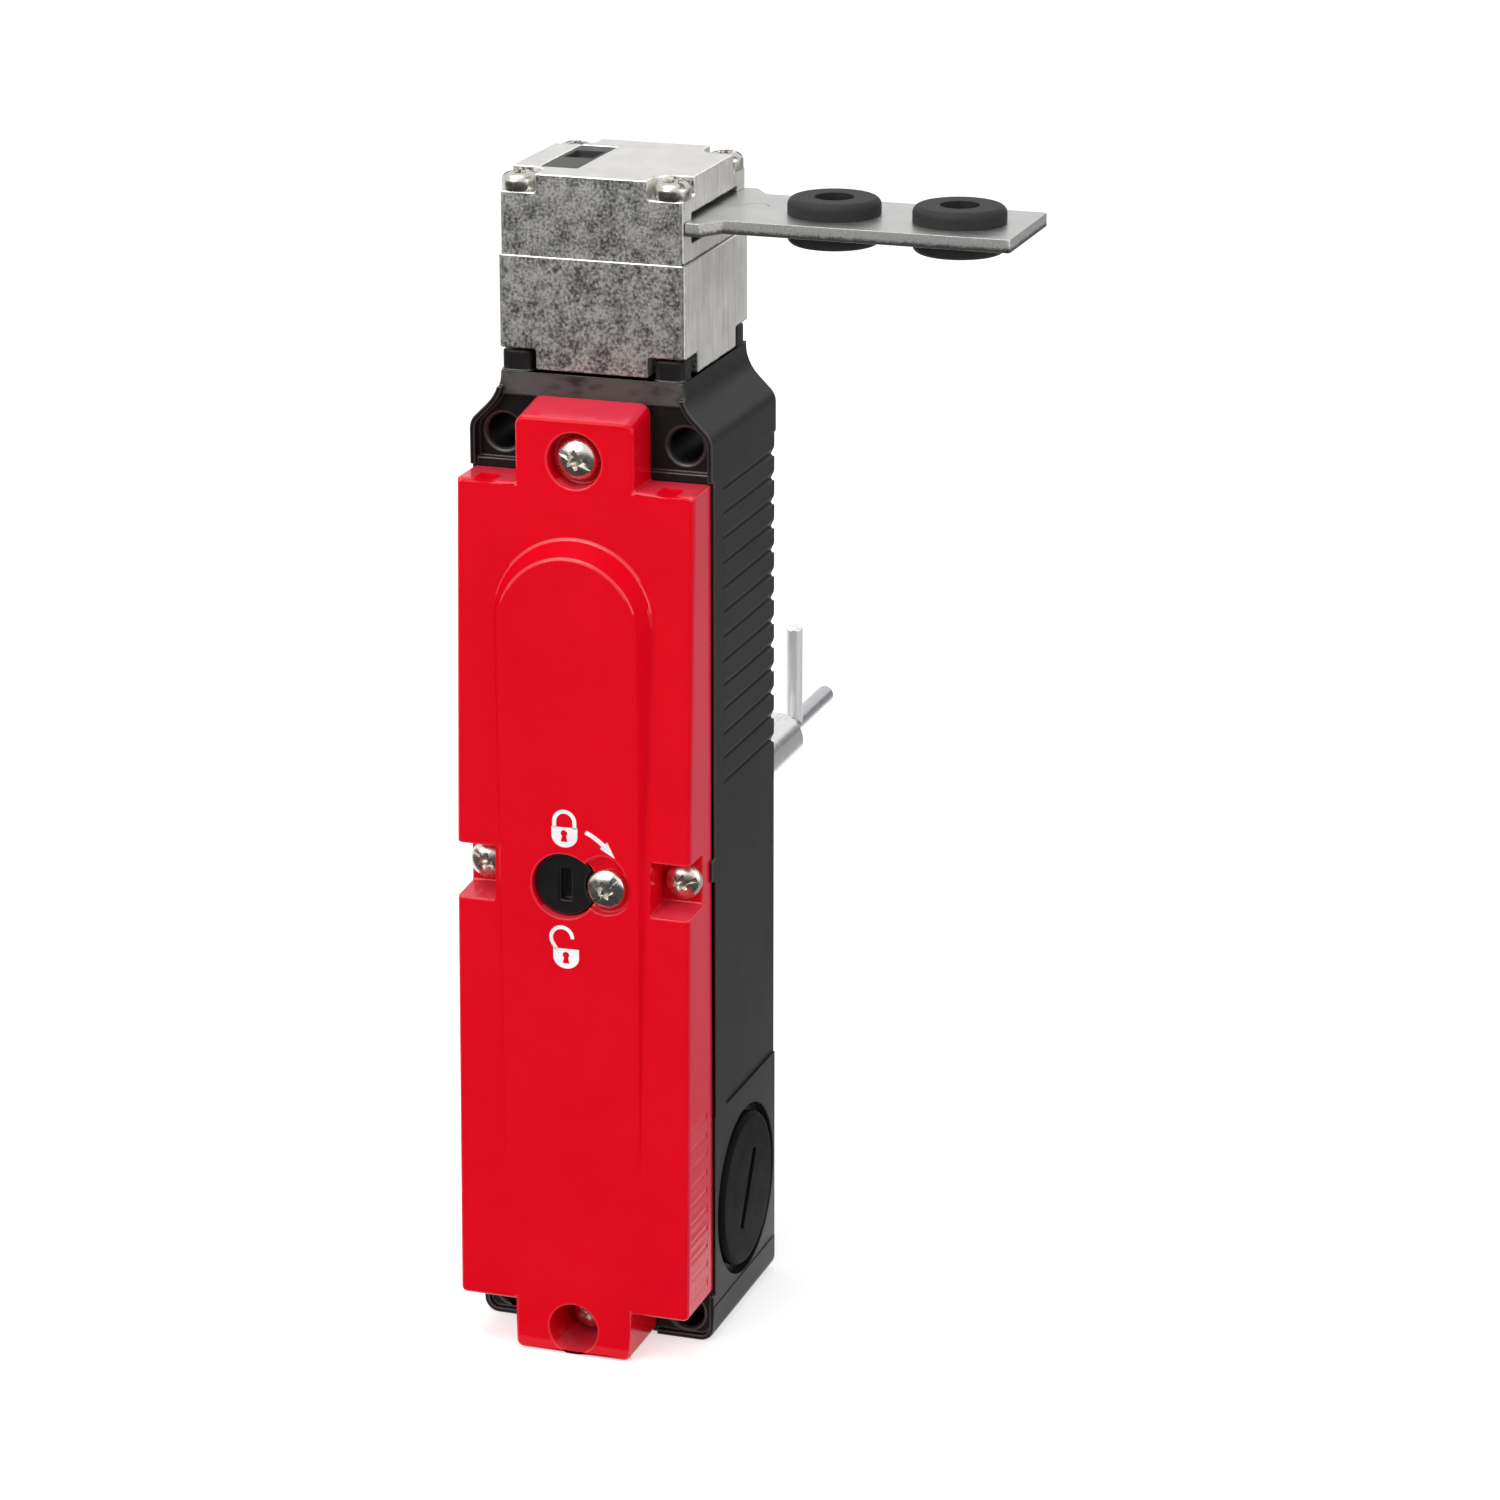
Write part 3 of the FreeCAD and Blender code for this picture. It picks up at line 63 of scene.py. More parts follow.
def clearSelection():
    if bpy.context.object and bpy.context.object.mode != "OBJECT":
        bpy.ops.object.mode_set(mode="OBJECT")
    bpy.ops.object.select_all(action="DESELECT")


def pickOnly(piece):
    clearSelection()
    piece.select_set(True)
    bpy.context.view_layer.objects.active = piece


def place(x, y, z):
    # millimetres from the foot and the rear face, to metres in the frame
    return Vector((x * mm, y * mm, (z - footDrop) * mm))


def measured(middle):
    # distance from the middle plane, depth and height above the foot, in millimetres
    return abs(middle.x / mm), middle.y / mm, middle.z / mm + footDrop


joining = {"weld": 0.002, "flat": 0.4}  # corners this near in mm, and faces this near in degrees, become one


def copyOfNode(nodeName, pieceName):
    # the CAD mesh as one joined surface, ready for bevels
    pickOnly(frame["nodes"][nodeName])
    bpy.ops.object.duplicate()
    piece = bpy.context.object
    piece.name = pieceName
    piece.data.name = pieceName
    bpy.ops.object.parent_clear(type="CLEAR_KEEP_TRANSFORM")
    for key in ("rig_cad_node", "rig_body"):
        if key in piece:
            del piece[key]
    bpy.ops.object.mode_set(mode="EDIT")
    bpy.ops.mesh.select_all(action="SELECT")
    bpy.ops.mesh.remove_doubles(threshold=joining["weld"] * mm)
    bpy.ops.mesh.dissolve_limited(angle_limit=math.radians(joining["flat"]))
    bpy.ops.object.mode_set(mode="OBJECT")
    if piece.data.has_custom_normals:
        bpy.ops.mesh.customdata_custom_splitnormals_clear()
    return piece


# angles in degrees; an edge has room when it is this many times as long as the rounding is wide
rounding = {"angle": 32, "segments": 2, "room": 1.3, "smooth": 40, "flatWeight": 80}


def weighEdges(piece, width, angle, leave):
    # sharp edges that have room for the rounding take it, the rest stay as they are
    shape = bmesh.new()
    shape.from_mesh(piece.data)
    shape.edges.ensure_lookup_table()
    sharp = {edge.index for edge in shape.edges
             if len(edge.link_faces) == 2 and edge.calc_face_angle(0) > math.radians(angle)}
    tight = set()
    for corner in shape.verts:
        crowded = sum(edge.index in sharp for edge in corner.link_edges) > 2
        for edge in corner.link_edges:
            if edge.calc_length() < width * rounding["room"] * mm and (crowded or edge.index not in sharp):
                tight.add(corner.index)
                break
    free = [index for index in sharp
            if not any(corner.index in tight for corner in shape.edges[index].verts)]
    if leave:
        free = [index for index in free
                if not leave(sum((corner.co for corner in shape.edges[index].verts), Vector()) / 2)]
    shape.free()
    weights = piece.data.attributes.new("bevel_weight_edge", "FLOAT", "EDGE")
    for index in free:
        weights.data[index].value = 1.0


def keepWithin(piece, low, high):
    # corners that the rounding threw a little too far come back to the piece's own box
    for vertex in piece.data.vertices:
        vertex.co = [min(max(value, low[axis]), high[axis]) for axis, value in enumerate(vertex.co)]


def roundEdges(piece, width, segments=rounding["segments"], angle=rounding["angle"], leave=None, rim=-1):
    # leave picks edges that stay sharp; rim is the finish of the rounding, -1 for that of the faces beside it
    pickOnly(piece)
    corners = [vertex.co.copy() for vertex in piece.data.vertices]
    low = [min(corner[axis] for corner in corners) for axis in range(3)]
    high = [max(corner[axis] for corner in corners) for axis in range(3)]
    weighEdges(piece, width, angle, leave)
    bevel = piece.modifiers.new("edgeRound", "BEVEL")
    bevel.width = width * mm
    bevel.segments = segments
    bevel.limit_method = "WEIGHT"
    bevel.miter_outer = "MITER_ARC"
    bevel.use_clamp_overlap = False
    bevel.material = rim
    bpy.ops.object.modifier_apply(modifier=bevel.name)
    keepWithin(piece, low, high)


def softShade(piece):
    # smooth over the rounded edges, with the flats kept flat
    pickOnly(piece)
    bpy.ops.object.shade_smooth_by_angle(angle=math.radians(rounding["smooth"]))
    flats = piece.modifiers.new("flatFaces", "WEIGHTED_NORMAL")
    flats.mode = "FACE_AREA"
    flats.weight = rounding["flatWeight"]
    flats.keep_sharp = True
    bpy.ops.object.modifier_apply(modifier=flats.name)
    return piece


def giveFaces(piece, finish, wanted):
    # another finish for faces that still have the first, picked by their middle and direction
    pickOnly(piece)
    piece.data.materials.append(finish)
    piece.active_material_index = len(piece.data.materials) - 1
    bpy.ops.object.mode_set(mode="EDIT")
    bpy.ops.mesh.select_mode(type="FACE")
    bpy.ops.mesh.select_all(action="DESELECT")
    bpy.ops.object.mode_set(mode="OBJECT")
    for face in piece.data.polygons:
        face.select = face.material_index == 0 and wanted(face.center, face.normal)
    bpy.ops.object.mode_set(mode="EDIT")
    bpy.ops.object.material_slot_assign()
    bpy.ops.object.mode_set(mode="OBJECT")


def dress(piece, finish, body, slotName, *nodes):
    piece.data.materials.clear()
    piece.data.materials.append(finish)
    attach(piece, body)
    if nodes:
        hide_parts(*nodes)


def startFinish(name, colour, metallic, roughness, specular=0.5):
    finish = bpy.data.materials.new(name)
    finish.use_nodes = True
    shader = finish.node_tree.nodes["Principled BSDF"]
    shader.inputs["Base Color"].default_value = (*colour, 1)
    shader.inputs["Metallic"].default_value = metallic
    shader.inputs["Roughness"].default_value = roughness
    shader.inputs["Specular IOR Level"].default_value = specular
    return finish, finish.node_tree, shader


def addNode(tree, kind, **values):
    node = tree.nodes.new(kind)
    for name, value in values.items():
        setattr(node, name, value)
    return node


def grain(tree, scale, detail=3.0, rough=0.6, stretch=(1, 1, 1)):
    # noise on the piece's own coordinates, in features per metre
    coords = addNode(tree, "ShaderNodeTexCoord")
    mapping = addNode(tree, "ShaderNodeMapping")
    mapping.inputs["Scale"].default_value = stretch
    noise = addNode(tree, "ShaderNodeTexNoise")
    noise.inputs["Scale"].default_value = scale
    noise.inputs["Detail"].default_value = detail
    noise.inputs["Roughness"].default_value = rough
    tree.links.new(coords.outputs["Object"], mapping.inputs["Vector"])
    tree.links.new(mapping.outputs["Vector"], noise.inputs["Vector"])
    return noise.outputs["Fac"]


def spread(tree, value, fromLow, fromHigh, low, high):
    node = addNode(tree, "ShaderNodeMapRange")
    node.inputs["From Min"].default_value = fromLow
    node.inputs["From Max"].default_value = fromHigh
    node.inputs["To Min"].default_value = low
    node.inputs["To Max"].default_value = high
    tree.links.new(value, node.inputs["Value"])
    return node.outputs["Result"]


def sums(tree, kind, first, second):
    # one sum of two values, or of a value and a number
    node = addNode(tree, "ShaderNodeMath", operation=kind)
    tree.links.new(first, node.inputs[0])
    if isinstance(second, (int, float)):
        node.inputs[1].default_value = second
    else:
        tree.links.new(second, node.inputs[1])
    return node.outputs[0]


def ramp(tree, value, stops):
    node = addNode(tree, "ShaderNodeValToRGB")
    bar = node.color_ramp
    while len(bar.elements) < len(stops):
        bar.elements.new(0.5)
    for element, (position, colour) in zip(bar.elements, stops):
        element.position = position
        element.color = (*colour, 1)
    tree.links.new(value, node.inputs["Fac"])
    return node.outputs["Color"]


def bumpFrom(tree, shader, value, distance, strength=1.0, under=None):
    bump = addNode(tree, "ShaderNodeBump")
    bump.inputs["Distance"].default_value = distance * mm
    bump.inputs["Strength"].default_value = strength
    tree.links.new(value, bump.inputs["Height"])
    if under is not None:
        tree.links.new(under.outputs["Normal"], bump.inputs["Normal"])
    tree.links.new(bump.outputs["Normal"], shader.inputs["Normal"])
    return bump


def tint(colour, factor):
    return tuple(min(1.0, part * factor) for part in colour)


def grainyFinish(name, look):
    # colour and gloss follow the grain, or the grain mixed with patches; the bump follows the fine grain
    gloss = look["gloss"]
    finish, tree, shader = startFinish(name, look["colour"], look.get("metallic", 0.0), sum(gloss) / 2,
                                       look.get("specular", 0.5))
    main = tone = grain(tree, *look["grain"])
    under = None
    if "patches" in look:
        patches, share = grain(tree, *look["patches"]), look["share"]
        tone = sums(tree, "ADD", sums(tree, "MULTIPLY", main, share),
                    sums(tree, "MULTIPLY", patches, 1 - share))
    shades = [(place, tint(look["colour"], factor)) for place, factor in look["shades"]]
    tree.links.new(ramp(tree, tone, shades), shader.inputs["Base Color"])
    fine = grain(tree, *look["fine"]) if "fine" in look else main
    glossy = fine if look.get("fineGloss") else tone
    tree.links.new(spread(tree, glossy, *look["between"], *gloss), shader.inputs["Roughness"])
    if "patchBump" in look:
        under = bumpFrom(tree, shader, patches, *look["patchBump"])
    if "bump" in look:
        bumpFrom(tree, shader, fine, *look["bump"], under=under)
    return finish


# a grain is features per metre, detail, roughness and stretch; shades are places in it and how much lighter
# they are; between is where the gloss starts and ends in it; a bump is its depth in millimetres and strength
enamel = {"specular": 0.22, "grain": (60, 2.0), "shades": ((0.35, 0.97), (0.65, 1.03)),
          "fine": (420, 3.0), "fineGloss": True, "between": (0.3, 0.7), "gloss": (0.13, 0.18),
          "bump": (0.012, 0.3)}
moulded = {"specular": 0.45, "grain": (240, 3.0), "shades": ((0.3, 0.88), (0.7, 1.14)),
           "fine": (1600, 3.0), "between": (0.3, 0.7), "glossAround": (-0.05, 0.06), "bump": (0.015, 0.35)}
blackPaint = {
    "colour": (0.0135, 0.0125, 0.0123), "specular": 0.12, "grain": (45, 3.0),
    "shades": ((0.3, 0.84), (0.7, 1.16)), "fine": (1500, 4.0),
    "between": (0.3, 0.7), "gloss": (0.34, 0.42), "bump": (0.02, 0.4),
}
# the band below the head, a lighter brownish grey as painted light, with darker smears
bandBlackPaintedLight = {
    "colour": (0.082, 0.077, 0.072), "specular": 0.2, "grain": (260, 4.0, 0.6, (0.6, 1, 1.4)),
    "shades": ((0.3, 0.35), (0.48, 1.0), (0.7, 1.15)), "fine": (1500, 4.0),
    "between": (0.3, 0.7), "gloss": (0.36, 0.5), "bump": (0.02, 0.4),
}
# blasted face of the casting: bright and dark specks over soft blotches
castZinc = {
    "colour": (0.46, 0.452, 0.435), "metallic": 1.0, "grain": (2000, 3.0, 0.6), "patches": (380, 3.0, 0.55),
    "share": 0.62, "shades": ((0.4, 0.24), (0.5, 1.0), (0.6, 2.0)),
    "between": (0.38, 0.62), "gloss": (0.56, 0.4), "patchBump": (0.12, 0.4), "bump": (0.04, 0.6),
}
# flanks that slid along the die: faint upright streaks, in a zinc lighter than the front as painted light
drawnZincPaintedLight = {
    "colour": (0.87, 0.855, 0.83), "metallic": 0.8, "grain": (1000, 4.0, 0.65, (1, 1, 0.1)),
    "patches": (180, 3.0), "share": 0.6, "shades": ((0.38, 0.86), (0.62, 1.14)),
    "between": (0.38, 0.62), "gloss": (0.36, 0.48), "bump": (0.015, 0.35),
}
# the top plate, almost even
groundZinc = {
    "colour": (0.66, 0.65, 0.63), "metallic": 1.0, "grain": (320, 4.0, 0.6),
    "shades": ((0.35, 0.95), (0.65, 1.05)), "fine": (2200, 3.0),
    "between": (0.35, 0.65), "gloss": (0.37, 0.44), "bump": (0.008, 0.4),
}
# edges and up-leaning faces of the head in a lighter zinc, a painted highlight
zincPaintedHighlight = {
    "colour": (0.92, 0.91, 0.89), "metallic": 1.0, "grain": (1500, 3.0, 0.6),
    "shades": ((0.35, 0.82), (0.6, 1.06)), "between": (0.35, 0.65), "gloss": (0.3, 0.42), "bump": (0.02, 0.5),
}
tongueSteel = {
    "colour": (0.51, 0.51, 0.503), "metallic": 1.0, "grain": (900, 4.0, 0.7, (0.05, 1, 1)),
    "patches": (150, 3.0), "share": 0.6, "shades": ((0.35, 0.9), (0.65, 1.1)),
    "between": (0.35, 0.65), "gloss": (0.32, 0.41), "bump": (0.01, 0.3),
}
matteRubber = {
    "colour": (0.022, 0.021, 0.0205), "specular": 0.25, "grain": (1300, 4.0),
    "shades": ((0.3, 0.82), (0.7, 1.2)), "between": (0.3, 0.7), "gloss": (0.58, 0.72), "bump": (0.03, 0.5),
}
nickel = {
    "metallic": 1.0, "grain": (900, 3.0), "shades": ((0.3, 0.88), (0.7, 1.1)),
    "between": (0.3, 0.7), "gloss": (0.22, 0.33), "bump": (0.008, 0.4),
}
chrome = {
    "metallic": 1.0, "grain": (700, 3.0, 0.6, (1, 1, 0.2)),
    "shades": ((0.3, 0.95), (0.7, 1.05)), "between": (0.3, 0.7),
}


def shearedSteel():
    # the cut edge of the sheet: grainy, with a darker band where it broke away below
    edge = {"colour": (0.62, 0.61, 0.59), "darkest": (0.02, 0.02, 0.02), "breakHeight": 182.75,
            "halfBand": 0.25, "dark": 0.18, "teeth": (1100, 3.0, 0.6), "wobble": 0.8,
            "specks": (2400, 3.0, 0.6), "between": (0.3, 0.7), "speckLevels": (0.7, 1.2),
            "gloss": (0.56, 0.42), "bump": (0.05, 0.5)}
    finish, tree, shader = startFinish("shearedSteel", edge["colour"], 1.0, sum(edge["gloss"]) / 2)
    coords = addNode(tree, "ShaderNodeTexCoord")
    parts = addNode(tree, "ShaderNodeSeparateXYZ")
    tree.links.new(coords.outputs["Object"], parts.inputs["Vector"])
    teeth = sums(tree, "MULTIPLY", grain(tree, *edge["teeth"]), edge["wobble"])
    height = sums(tree, "SUBTRACT", parts.outputs["Z"], (edge["breakHeight"] - footDrop) * mm)
    ragged = sums(tree, "ADD", sums(tree, "MULTIPLY", height, 1 / mm), teeth)
    middle = edge["wobble"] / 2
    band = spread(tree, ragged, middle - edge["halfBand"], middle + edge["halfBand"], edge["dark"], 1.0)
    specks = spread(tree, grain(tree, *edge["specks"]), *edge["between"], *edge["speckLevels"])
    level = sums(tree, "MULTIPLY", band, specks)
    colour = ramp(tree, level, [(0.0, edge["darkest"]), (1.0, edge["colour"])])
    tree.links.new(colour, shader.inputs["Base Color"])
    tree.links.new(spread(tree, specks, *edge["speckLevels"], *edge["gloss"]), shader.inputs["Roughness"])
    bumpFrom(tree, shader, specks, *edge["bump"])
    return finish


def drawnSteel():
    steel = {"colour": (0.56, 0.56, 0.55), "dark": (0.3, (0.47, 0.47, 0.46)),
             "light": (0.7, (0.64, 0.64, 0.63)), "lines": (1200, 4.0, 0.7, (1, 0.05, 1)),
             "between": (0.3, 0.7), "gloss": (0.22, 0.36), "bump": (0.01, 0.3)}
    finish, tree, shader = startFinish("drawnSteel", steel["colour"], 1.0, sum(steel["gloss"]) / 2)
    lines = grain(tree, *steel["lines"])
    tree.links.new(ramp(tree, lines, [steel["dark"], steel["light"]]), shader.inputs["Base Color"])
    tree.links.new(spread(tree, lines, *steel["between"], *steel["gloss"]), shader.inputs["Roughness"])
    bumpFrom(tree, shader, lines, *steel["bump"])
    return finish


def woundCopper():
    copper = {"colour": (0.55, 0.2, 0.09), "roughness": 0.35, "wires": 900, "wobble": 0.6, "bump": (0.08, 0.6),
              "dark": (0.2, (0.3, 0.09, 0.04)), "light": (0.7, (0.62, 0.24, 0.11))}
    finish, tree, shader = startFinish("woundCopper", copper["colour"], 1.0, copper["roughness"])
    coords = addNode(tree, "ShaderNodeTexCoord")
    wires = addNode(tree, "ShaderNodeTexWave", bands_direction="Z")
    wires.inputs["Scale"].default_value = copper["wires"]
    wires.inputs["Distortion"].default_value = copper["wobble"]
    tree.links.new(coords.outputs["Object"], wires.inputs["Vector"])
    colour = ramp(tree, wires.outputs["Fac"], [copper["dark"], copper["light"]])
    tree.links.new(colour, shader.inputs["Base Color"])
    bumpFrom(tree, shader, wires.outputs["Fac"], *copper["bump"])
    return finish


def mouldedPlastic(name, colour, roughness, **others):
    gloss = [roughness + step for step in moulded["glossAround"]]
    return grainyFinish(name, {**moulded, "colour": colour, "gloss": gloss, **others})


finishes = {
    "red": grainyFinish("glossyRed", {**enamel, "colour": (0.735, 0.0009, 0.0115), "specular": 0.2}),
    # a lighter, glossier red for the rounded edges of the cover; the lighter colour is a painted highlight
    "redRimPaintedHighlight": grainyFinish("redRimPaintedHighlight", {**enamel, "colour": (0.8, 0.02, 0.036), "specular": 0.6,
                                      "gloss": (0.2, 0.28)}),
    "redSlope": grainyFinish("redSlope", {**enamel, "colour": (0.735, 0.0015, 0.0125), "specular": 0.02,
                                          "gloss": (0.4, 0.5)}),
    # a pinker red for the cover's outer sides, a painted reflection
    "redSidePaintedReflection": grainyFinish("redSidePaintedReflection", {**enamel, "colour": (0.71, 0.008, 0.04)}),
    # a lighter pink red for faces that look up, painted light
    "redTopPaintedLight": grainyFinish("redTopPaintedLight", {**enamel, "colour": (0.8, 0.036, 0.07)}),
    "black": grainyFinish("blackPaint", blackPaint),
    "blackBand": grainyFinish("bandBlackPaintedLight", bandBlackPaintedLight),
    "zinc": grainyFinish("castZinc", castZinc),
    "zincFlank": grainyFinish("drawnZincPaintedLight", drawnZincPaintedLight),
    "zincTop": grainyFinish("groundZinc", groundZinc),
    "zincEdge": grainyFinish("zincPaintedHighlight", zincPaintedHighlight),
    "tongue": grainyFinish("tongueSteel", tongueSteel),
    "tongueEdge": shearedSteel(),
    "rubber": grainyFinish("matteRubber", matteRubber),
    "nickel": grainyFinish("nickelPlate", {**nickel, "colour": (0.8, 0.77, 0.7)}),
    "nickelWorn": grainyFinish("nickelWorn", {**nickel, "colour": (0.56, 0.545, 0.5)}),
    "chrome": grainyFinish("chromePlate", {**chrome, "colour": (0.77, 0.77, 0.78), "gloss": (0.17, 0.26)}),
    # a lighter chrome for the cross pin, painted light
    "chromePaintedLighter": grainyFinish("chromePaintedLighter", {**chrome, "colour": (0.92, 0.92, 0.93), "gloss": (0.3, 0.4),
                                              "metallic": 0.6}),
    # a darker chrome for the axial pin, painted shade
    "chromePaintedDarker": grainyFinish("chromePaintedDarker", {**chrome, "colour": (0.5, 0.5, 0.52), "gloss": (0.24, 0.34)}),
    "steel": drawnSteel(),
    "copper": woundCopper(),
    # a lighter, glossier black for rounded edges; the lighter colour is a painted highlight
    "blackRimPaintedHighlight": mouldedPlastic("blackRimPaintedHighlight", (0.04, 0.037, 0.037), 0.3, specular=0.7),
    "blackPlug": mouldedPlastic("blackPlug", (0.0085, 0.0082, 0.0085), 0.5, specular=0.03),
    "blackPlastic": mouldedPlastic("blackPlastic", (0.011, 0.0105, 0.011), 0.34, specular=0.3),
    "darkGrey": mouldedPlastic("darkGreyPlastic", (0.045, 0.045, 0.047), 0.5, specular=0.3),
    "grey": mouldedPlastic("greyPlastic", (0.2, 0.2, 0.2), 0.45),
    "seal": mouldedPlastic("sealRubber", (0.02, 0.02, 0.021), 0.6),
    "board": mouldedPlastic("boardGreen", (0.02, 0.11, 0.04), 0.4),
    "brass": mouldedPlastic("brassYellow", (0.62, 0.45, 0.16), 0.3, metallic=1.0),
    "print": mouldedPlastic("printWhite", (0.95, 0.9, 0.92), 0.5, specular=0.1),
}
print("finishes made:", len(finishes))


# pieces that follow the CAD nodes, with rounded edges: node, edge radius, finish, slot
roundedPieces = {
    "housingBody": ("housing", 0.25, "black", "black_die_cast"),
    "redCoverShell": ("red_cover", 0.34, "red", "red_cover"),
    "headLowerHalf": ("head_base", 0.3, "zinc", "zinc_die_cast"),
    "headUpperHalf": ("head_cap", 0.3, "zinc", "zinc_die_cast"),
    "topSlotInsert": ("slot_insert", 0.12, "darkGrey", "black_plastic"),
    "tongueSheet": ("tongue", 0.12, "tongue", "tongue_steel"),
    "headScrewSet": ("head_screws", 0.08, "nickelWorn", "nickel_screw"),
    "releaseKeyDisc": ("release_key", 0.15, "blackPlastic", "black_plastic"),
    "plugOnRight": ("entry_plug_right", 0.15, "blackPlug", "black_plastic"),
    "plugOnLeft": ("entry_plug_left", 0.15, "blackPlug", "black_plastic"),
    "plugBelow": ("entry_plug_bottom", 0.15, "blackPlug", "black_plastic"),
    "releaseShaft": ("escape_shaft", 0.1, "chrome", "chrome"),
    "releaseCrossPin": ("escape_cross_pin", 0.1, "chromePaintedLighter", "chrome"),
    "releaseAxialPin": ("escape_axial_pin", 0.1, "chromePaintedDarker", "chrome"),
    "bushNearHead": ("bush_inner", 0.1, "rubber", "bush_rubber"),
    "bushNearEnd": ("bush_outer", 0.1, "rubber", "bush_rubber"),
}
# edges with a glossier finish of their own; its lighter colour is a painted highlight
rims = {"housingBody": "blackRimPaintedHighlight", "redCoverShell": "redRimPaintedHighlight", "headLowerHalf": "zincEdge",
        "headUpperHalf": "zincEdge", "releaseKeyDisc": "blackRimPaintedHighlight"}
grip = {"side": 18.4, "front": -42.3, "back": -31.5, "low": 9.0, "high": 43.5,
        "floorFrom": 19.05, "floorTo": 19.25, "worn": 19.39}
bodyOf = {node: body for body, members in frame["record"]["behaviour"]["bodies"].items() for node in members}
pieces = {}


def inGrip(middle):
    # the shallow grip grooves low on the sides of the cover are too fine to round
    x, y, height = measured(middle)
    return x > grip["side"] and grip["front"] < y < grip["back"] and grip["low"] < height < grip["high"]


for pieceName, (nodeName, edge, finishName, slotName) in roundedPieces.items():
    piece = copyOfNode(nodeName, pieceName)
    dress(piece, finishes[finishName], bodyOf[nodeName], slotName, nodeName)
    for face in piece.data.polygons:
        face.material_index = 0
    if pieceName in rims:
        piece.data.materials.append(finishes[rims[pieceName]])
    roundEdges(piece, edge, leave=inGrip if pieceName == "redCoverShell" else None,
               rim=1 if pieceName in rims else -1)
    pieces[pieceName] = softShade(piece)
print("rounded pieces made:", len(pieces))


# how far a face has to lean to count as a flank, as the top, as an edge with painted highlight, or as facing
# down
head = {"flank": 0.35, "top": 0.9, "edgeLow": 0.25, "edgeHigh": 0.9, "down": -0.2}


def onFlank(middle, way):
    return abs(way.x) > head["flank"] and abs(way.z) < head["edgeLow"]


for pieceName in ("headLowerHalf", "headUpperHalf"):
    piece = pieces[pieceName]
    for face in piece.data.polygons:
        if face.material_index == 1 and face.normal.z < head["down"]:
            face.material_index = 0  # edges that face down get no painted highlight
    # the flanks take the lighter zinc, painted light
    giveFaces(piece, finishes["zincFlank"], onFlank)
    giveFaces(piece, finishes["zincTop"], lambda middle, way: abs(way.z) > head["top"])
    # faces that lean up take the lighter zinc, a painted highlight
    giveFaces(piece, finishes["zincEdge"], lambda middle, way: head["edgeLow"] < way.z < head["edgeHigh"])


# places in millimetres; lean, shine, up and side are how far a face leans
pad = {"front": -43.25, "back": -36.0, "low": 25.0, "high": 140.0, "half": 12.5, "leanMost": -0.97,
       "leanLeast": -0.03, "edgeFrom": 9.5, "edgeTo": 13.5, "shine": 0.2}
dent = {"inner": 12.9, "outer": 17.1, "low": 143.3, "high": 143.79}
coverFaces = {"up": 0.7, "side": 0.85}
cover = pieces["redCoverShell"]


def onSlope(middle, way):
    x, y, height = measured(middle)
    inside = x < pad["half"] and pad["low"] < height < pad["high"] and pad["front"] < y < pad["back"]
    return inside and pad["leanMost"] < way.y < pad["leanLeast"]


def inDent(middle):
    # the shallow dents in the tops of the shoulders
    x, y, height = measured(middle)
    return dent["inner"] < x < dent["outer"] and dent["low"] < height < dent["high"]


def noPaintedHighlight(middle, way):
    # the painted highlight is taken off the long sides of the pad, which catch no light, and off the dents;
    # only the pad's arch keeps it
    x, y, height = measured(middle)
    onPad = pad["edgeFrom"] < x < pad["edgeTo"] and pad["low"] < height < pad["high"] and way.z < pad["shine"]
    return onPad or inDent(middle)


# these edges keep the plain red, without the painted highlight
for face in cover.data.polygons:
    if face.material_index == 1 and noPaintedHighlight(face.center, face.normal):
        face.material_index = 0
for vertex in cover.data.vertices:
    # grip grooves worn shallow, as soft bands
    if inGrip(vertex.co) and grip["floorFrom"] < abs(vertex.co.x / mm) < grip["floorTo"]:
        vertex.co.x = math.copysign(grip["worn"] * mm, vertex.co.x)
giveFaces(cover, finishes["redSlope"], lambda middle, way: onSlope(middle, way) or inDent(middle))
# faces that look up take the lighter red, painted light
giveFaces(cover, finishes["redTopPaintedLight"], lambda middle, way: way.z > coverFaces["up"])
# the outer sides take the pinker red, a painted reflection
giveFaces(cover, finishes["redSidePaintedReflection"],
          lambda middle, way: abs(way.x) > coverFaces["side"] and abs(middle.x / mm) > grip["side"])

# the lighter band below the head, painted light; flat and lean are how far its faces turn to the front
band = {"front": -30.9, "low": 155.2, "high": 159.3, "half": 14.2, "flat": -0.99, "lean": -0.5}
housing = pieces["housingBody"]
paintedHighlightFront = -29.0  # the housing's edges keep their painted highlight in front of this depth only
for face in housing.data.polygons:
    if face.material_index == 1 and face.center.y / mm > paintedHighlightFront:
        face.material_index = 0


def splitFront(piece, height):
    # a line across the front face, so that the band above it can take its own finish
    pickOnly(piece)
    for face in piece.data.polygons:
        face.select = face.normal.y < band["flat"] and face.center.y / mm < band["front"]
    bpy.ops.object.mode_set(mode="EDIT")
    bpy.ops.mesh.select_mode(type="FACE")
    bpy.ops.mesh.bisect(plane_co=place(0, 0, height), plane_no=(0, 0, 1))
    bpy.ops.object.mode_set(mode="OBJECT")


def onBand(middle, way):
    x, y, height = measured(middle)
    inside = band["low"] < height < band["high"] and x < band["half"] and y < band["front"]
    return inside and way.y < band["lean"]


splitFront(housing, band["low"])
# the band takes the lighter black, painted light
giveFaces(housing, finishes["blackBand"], onBand)

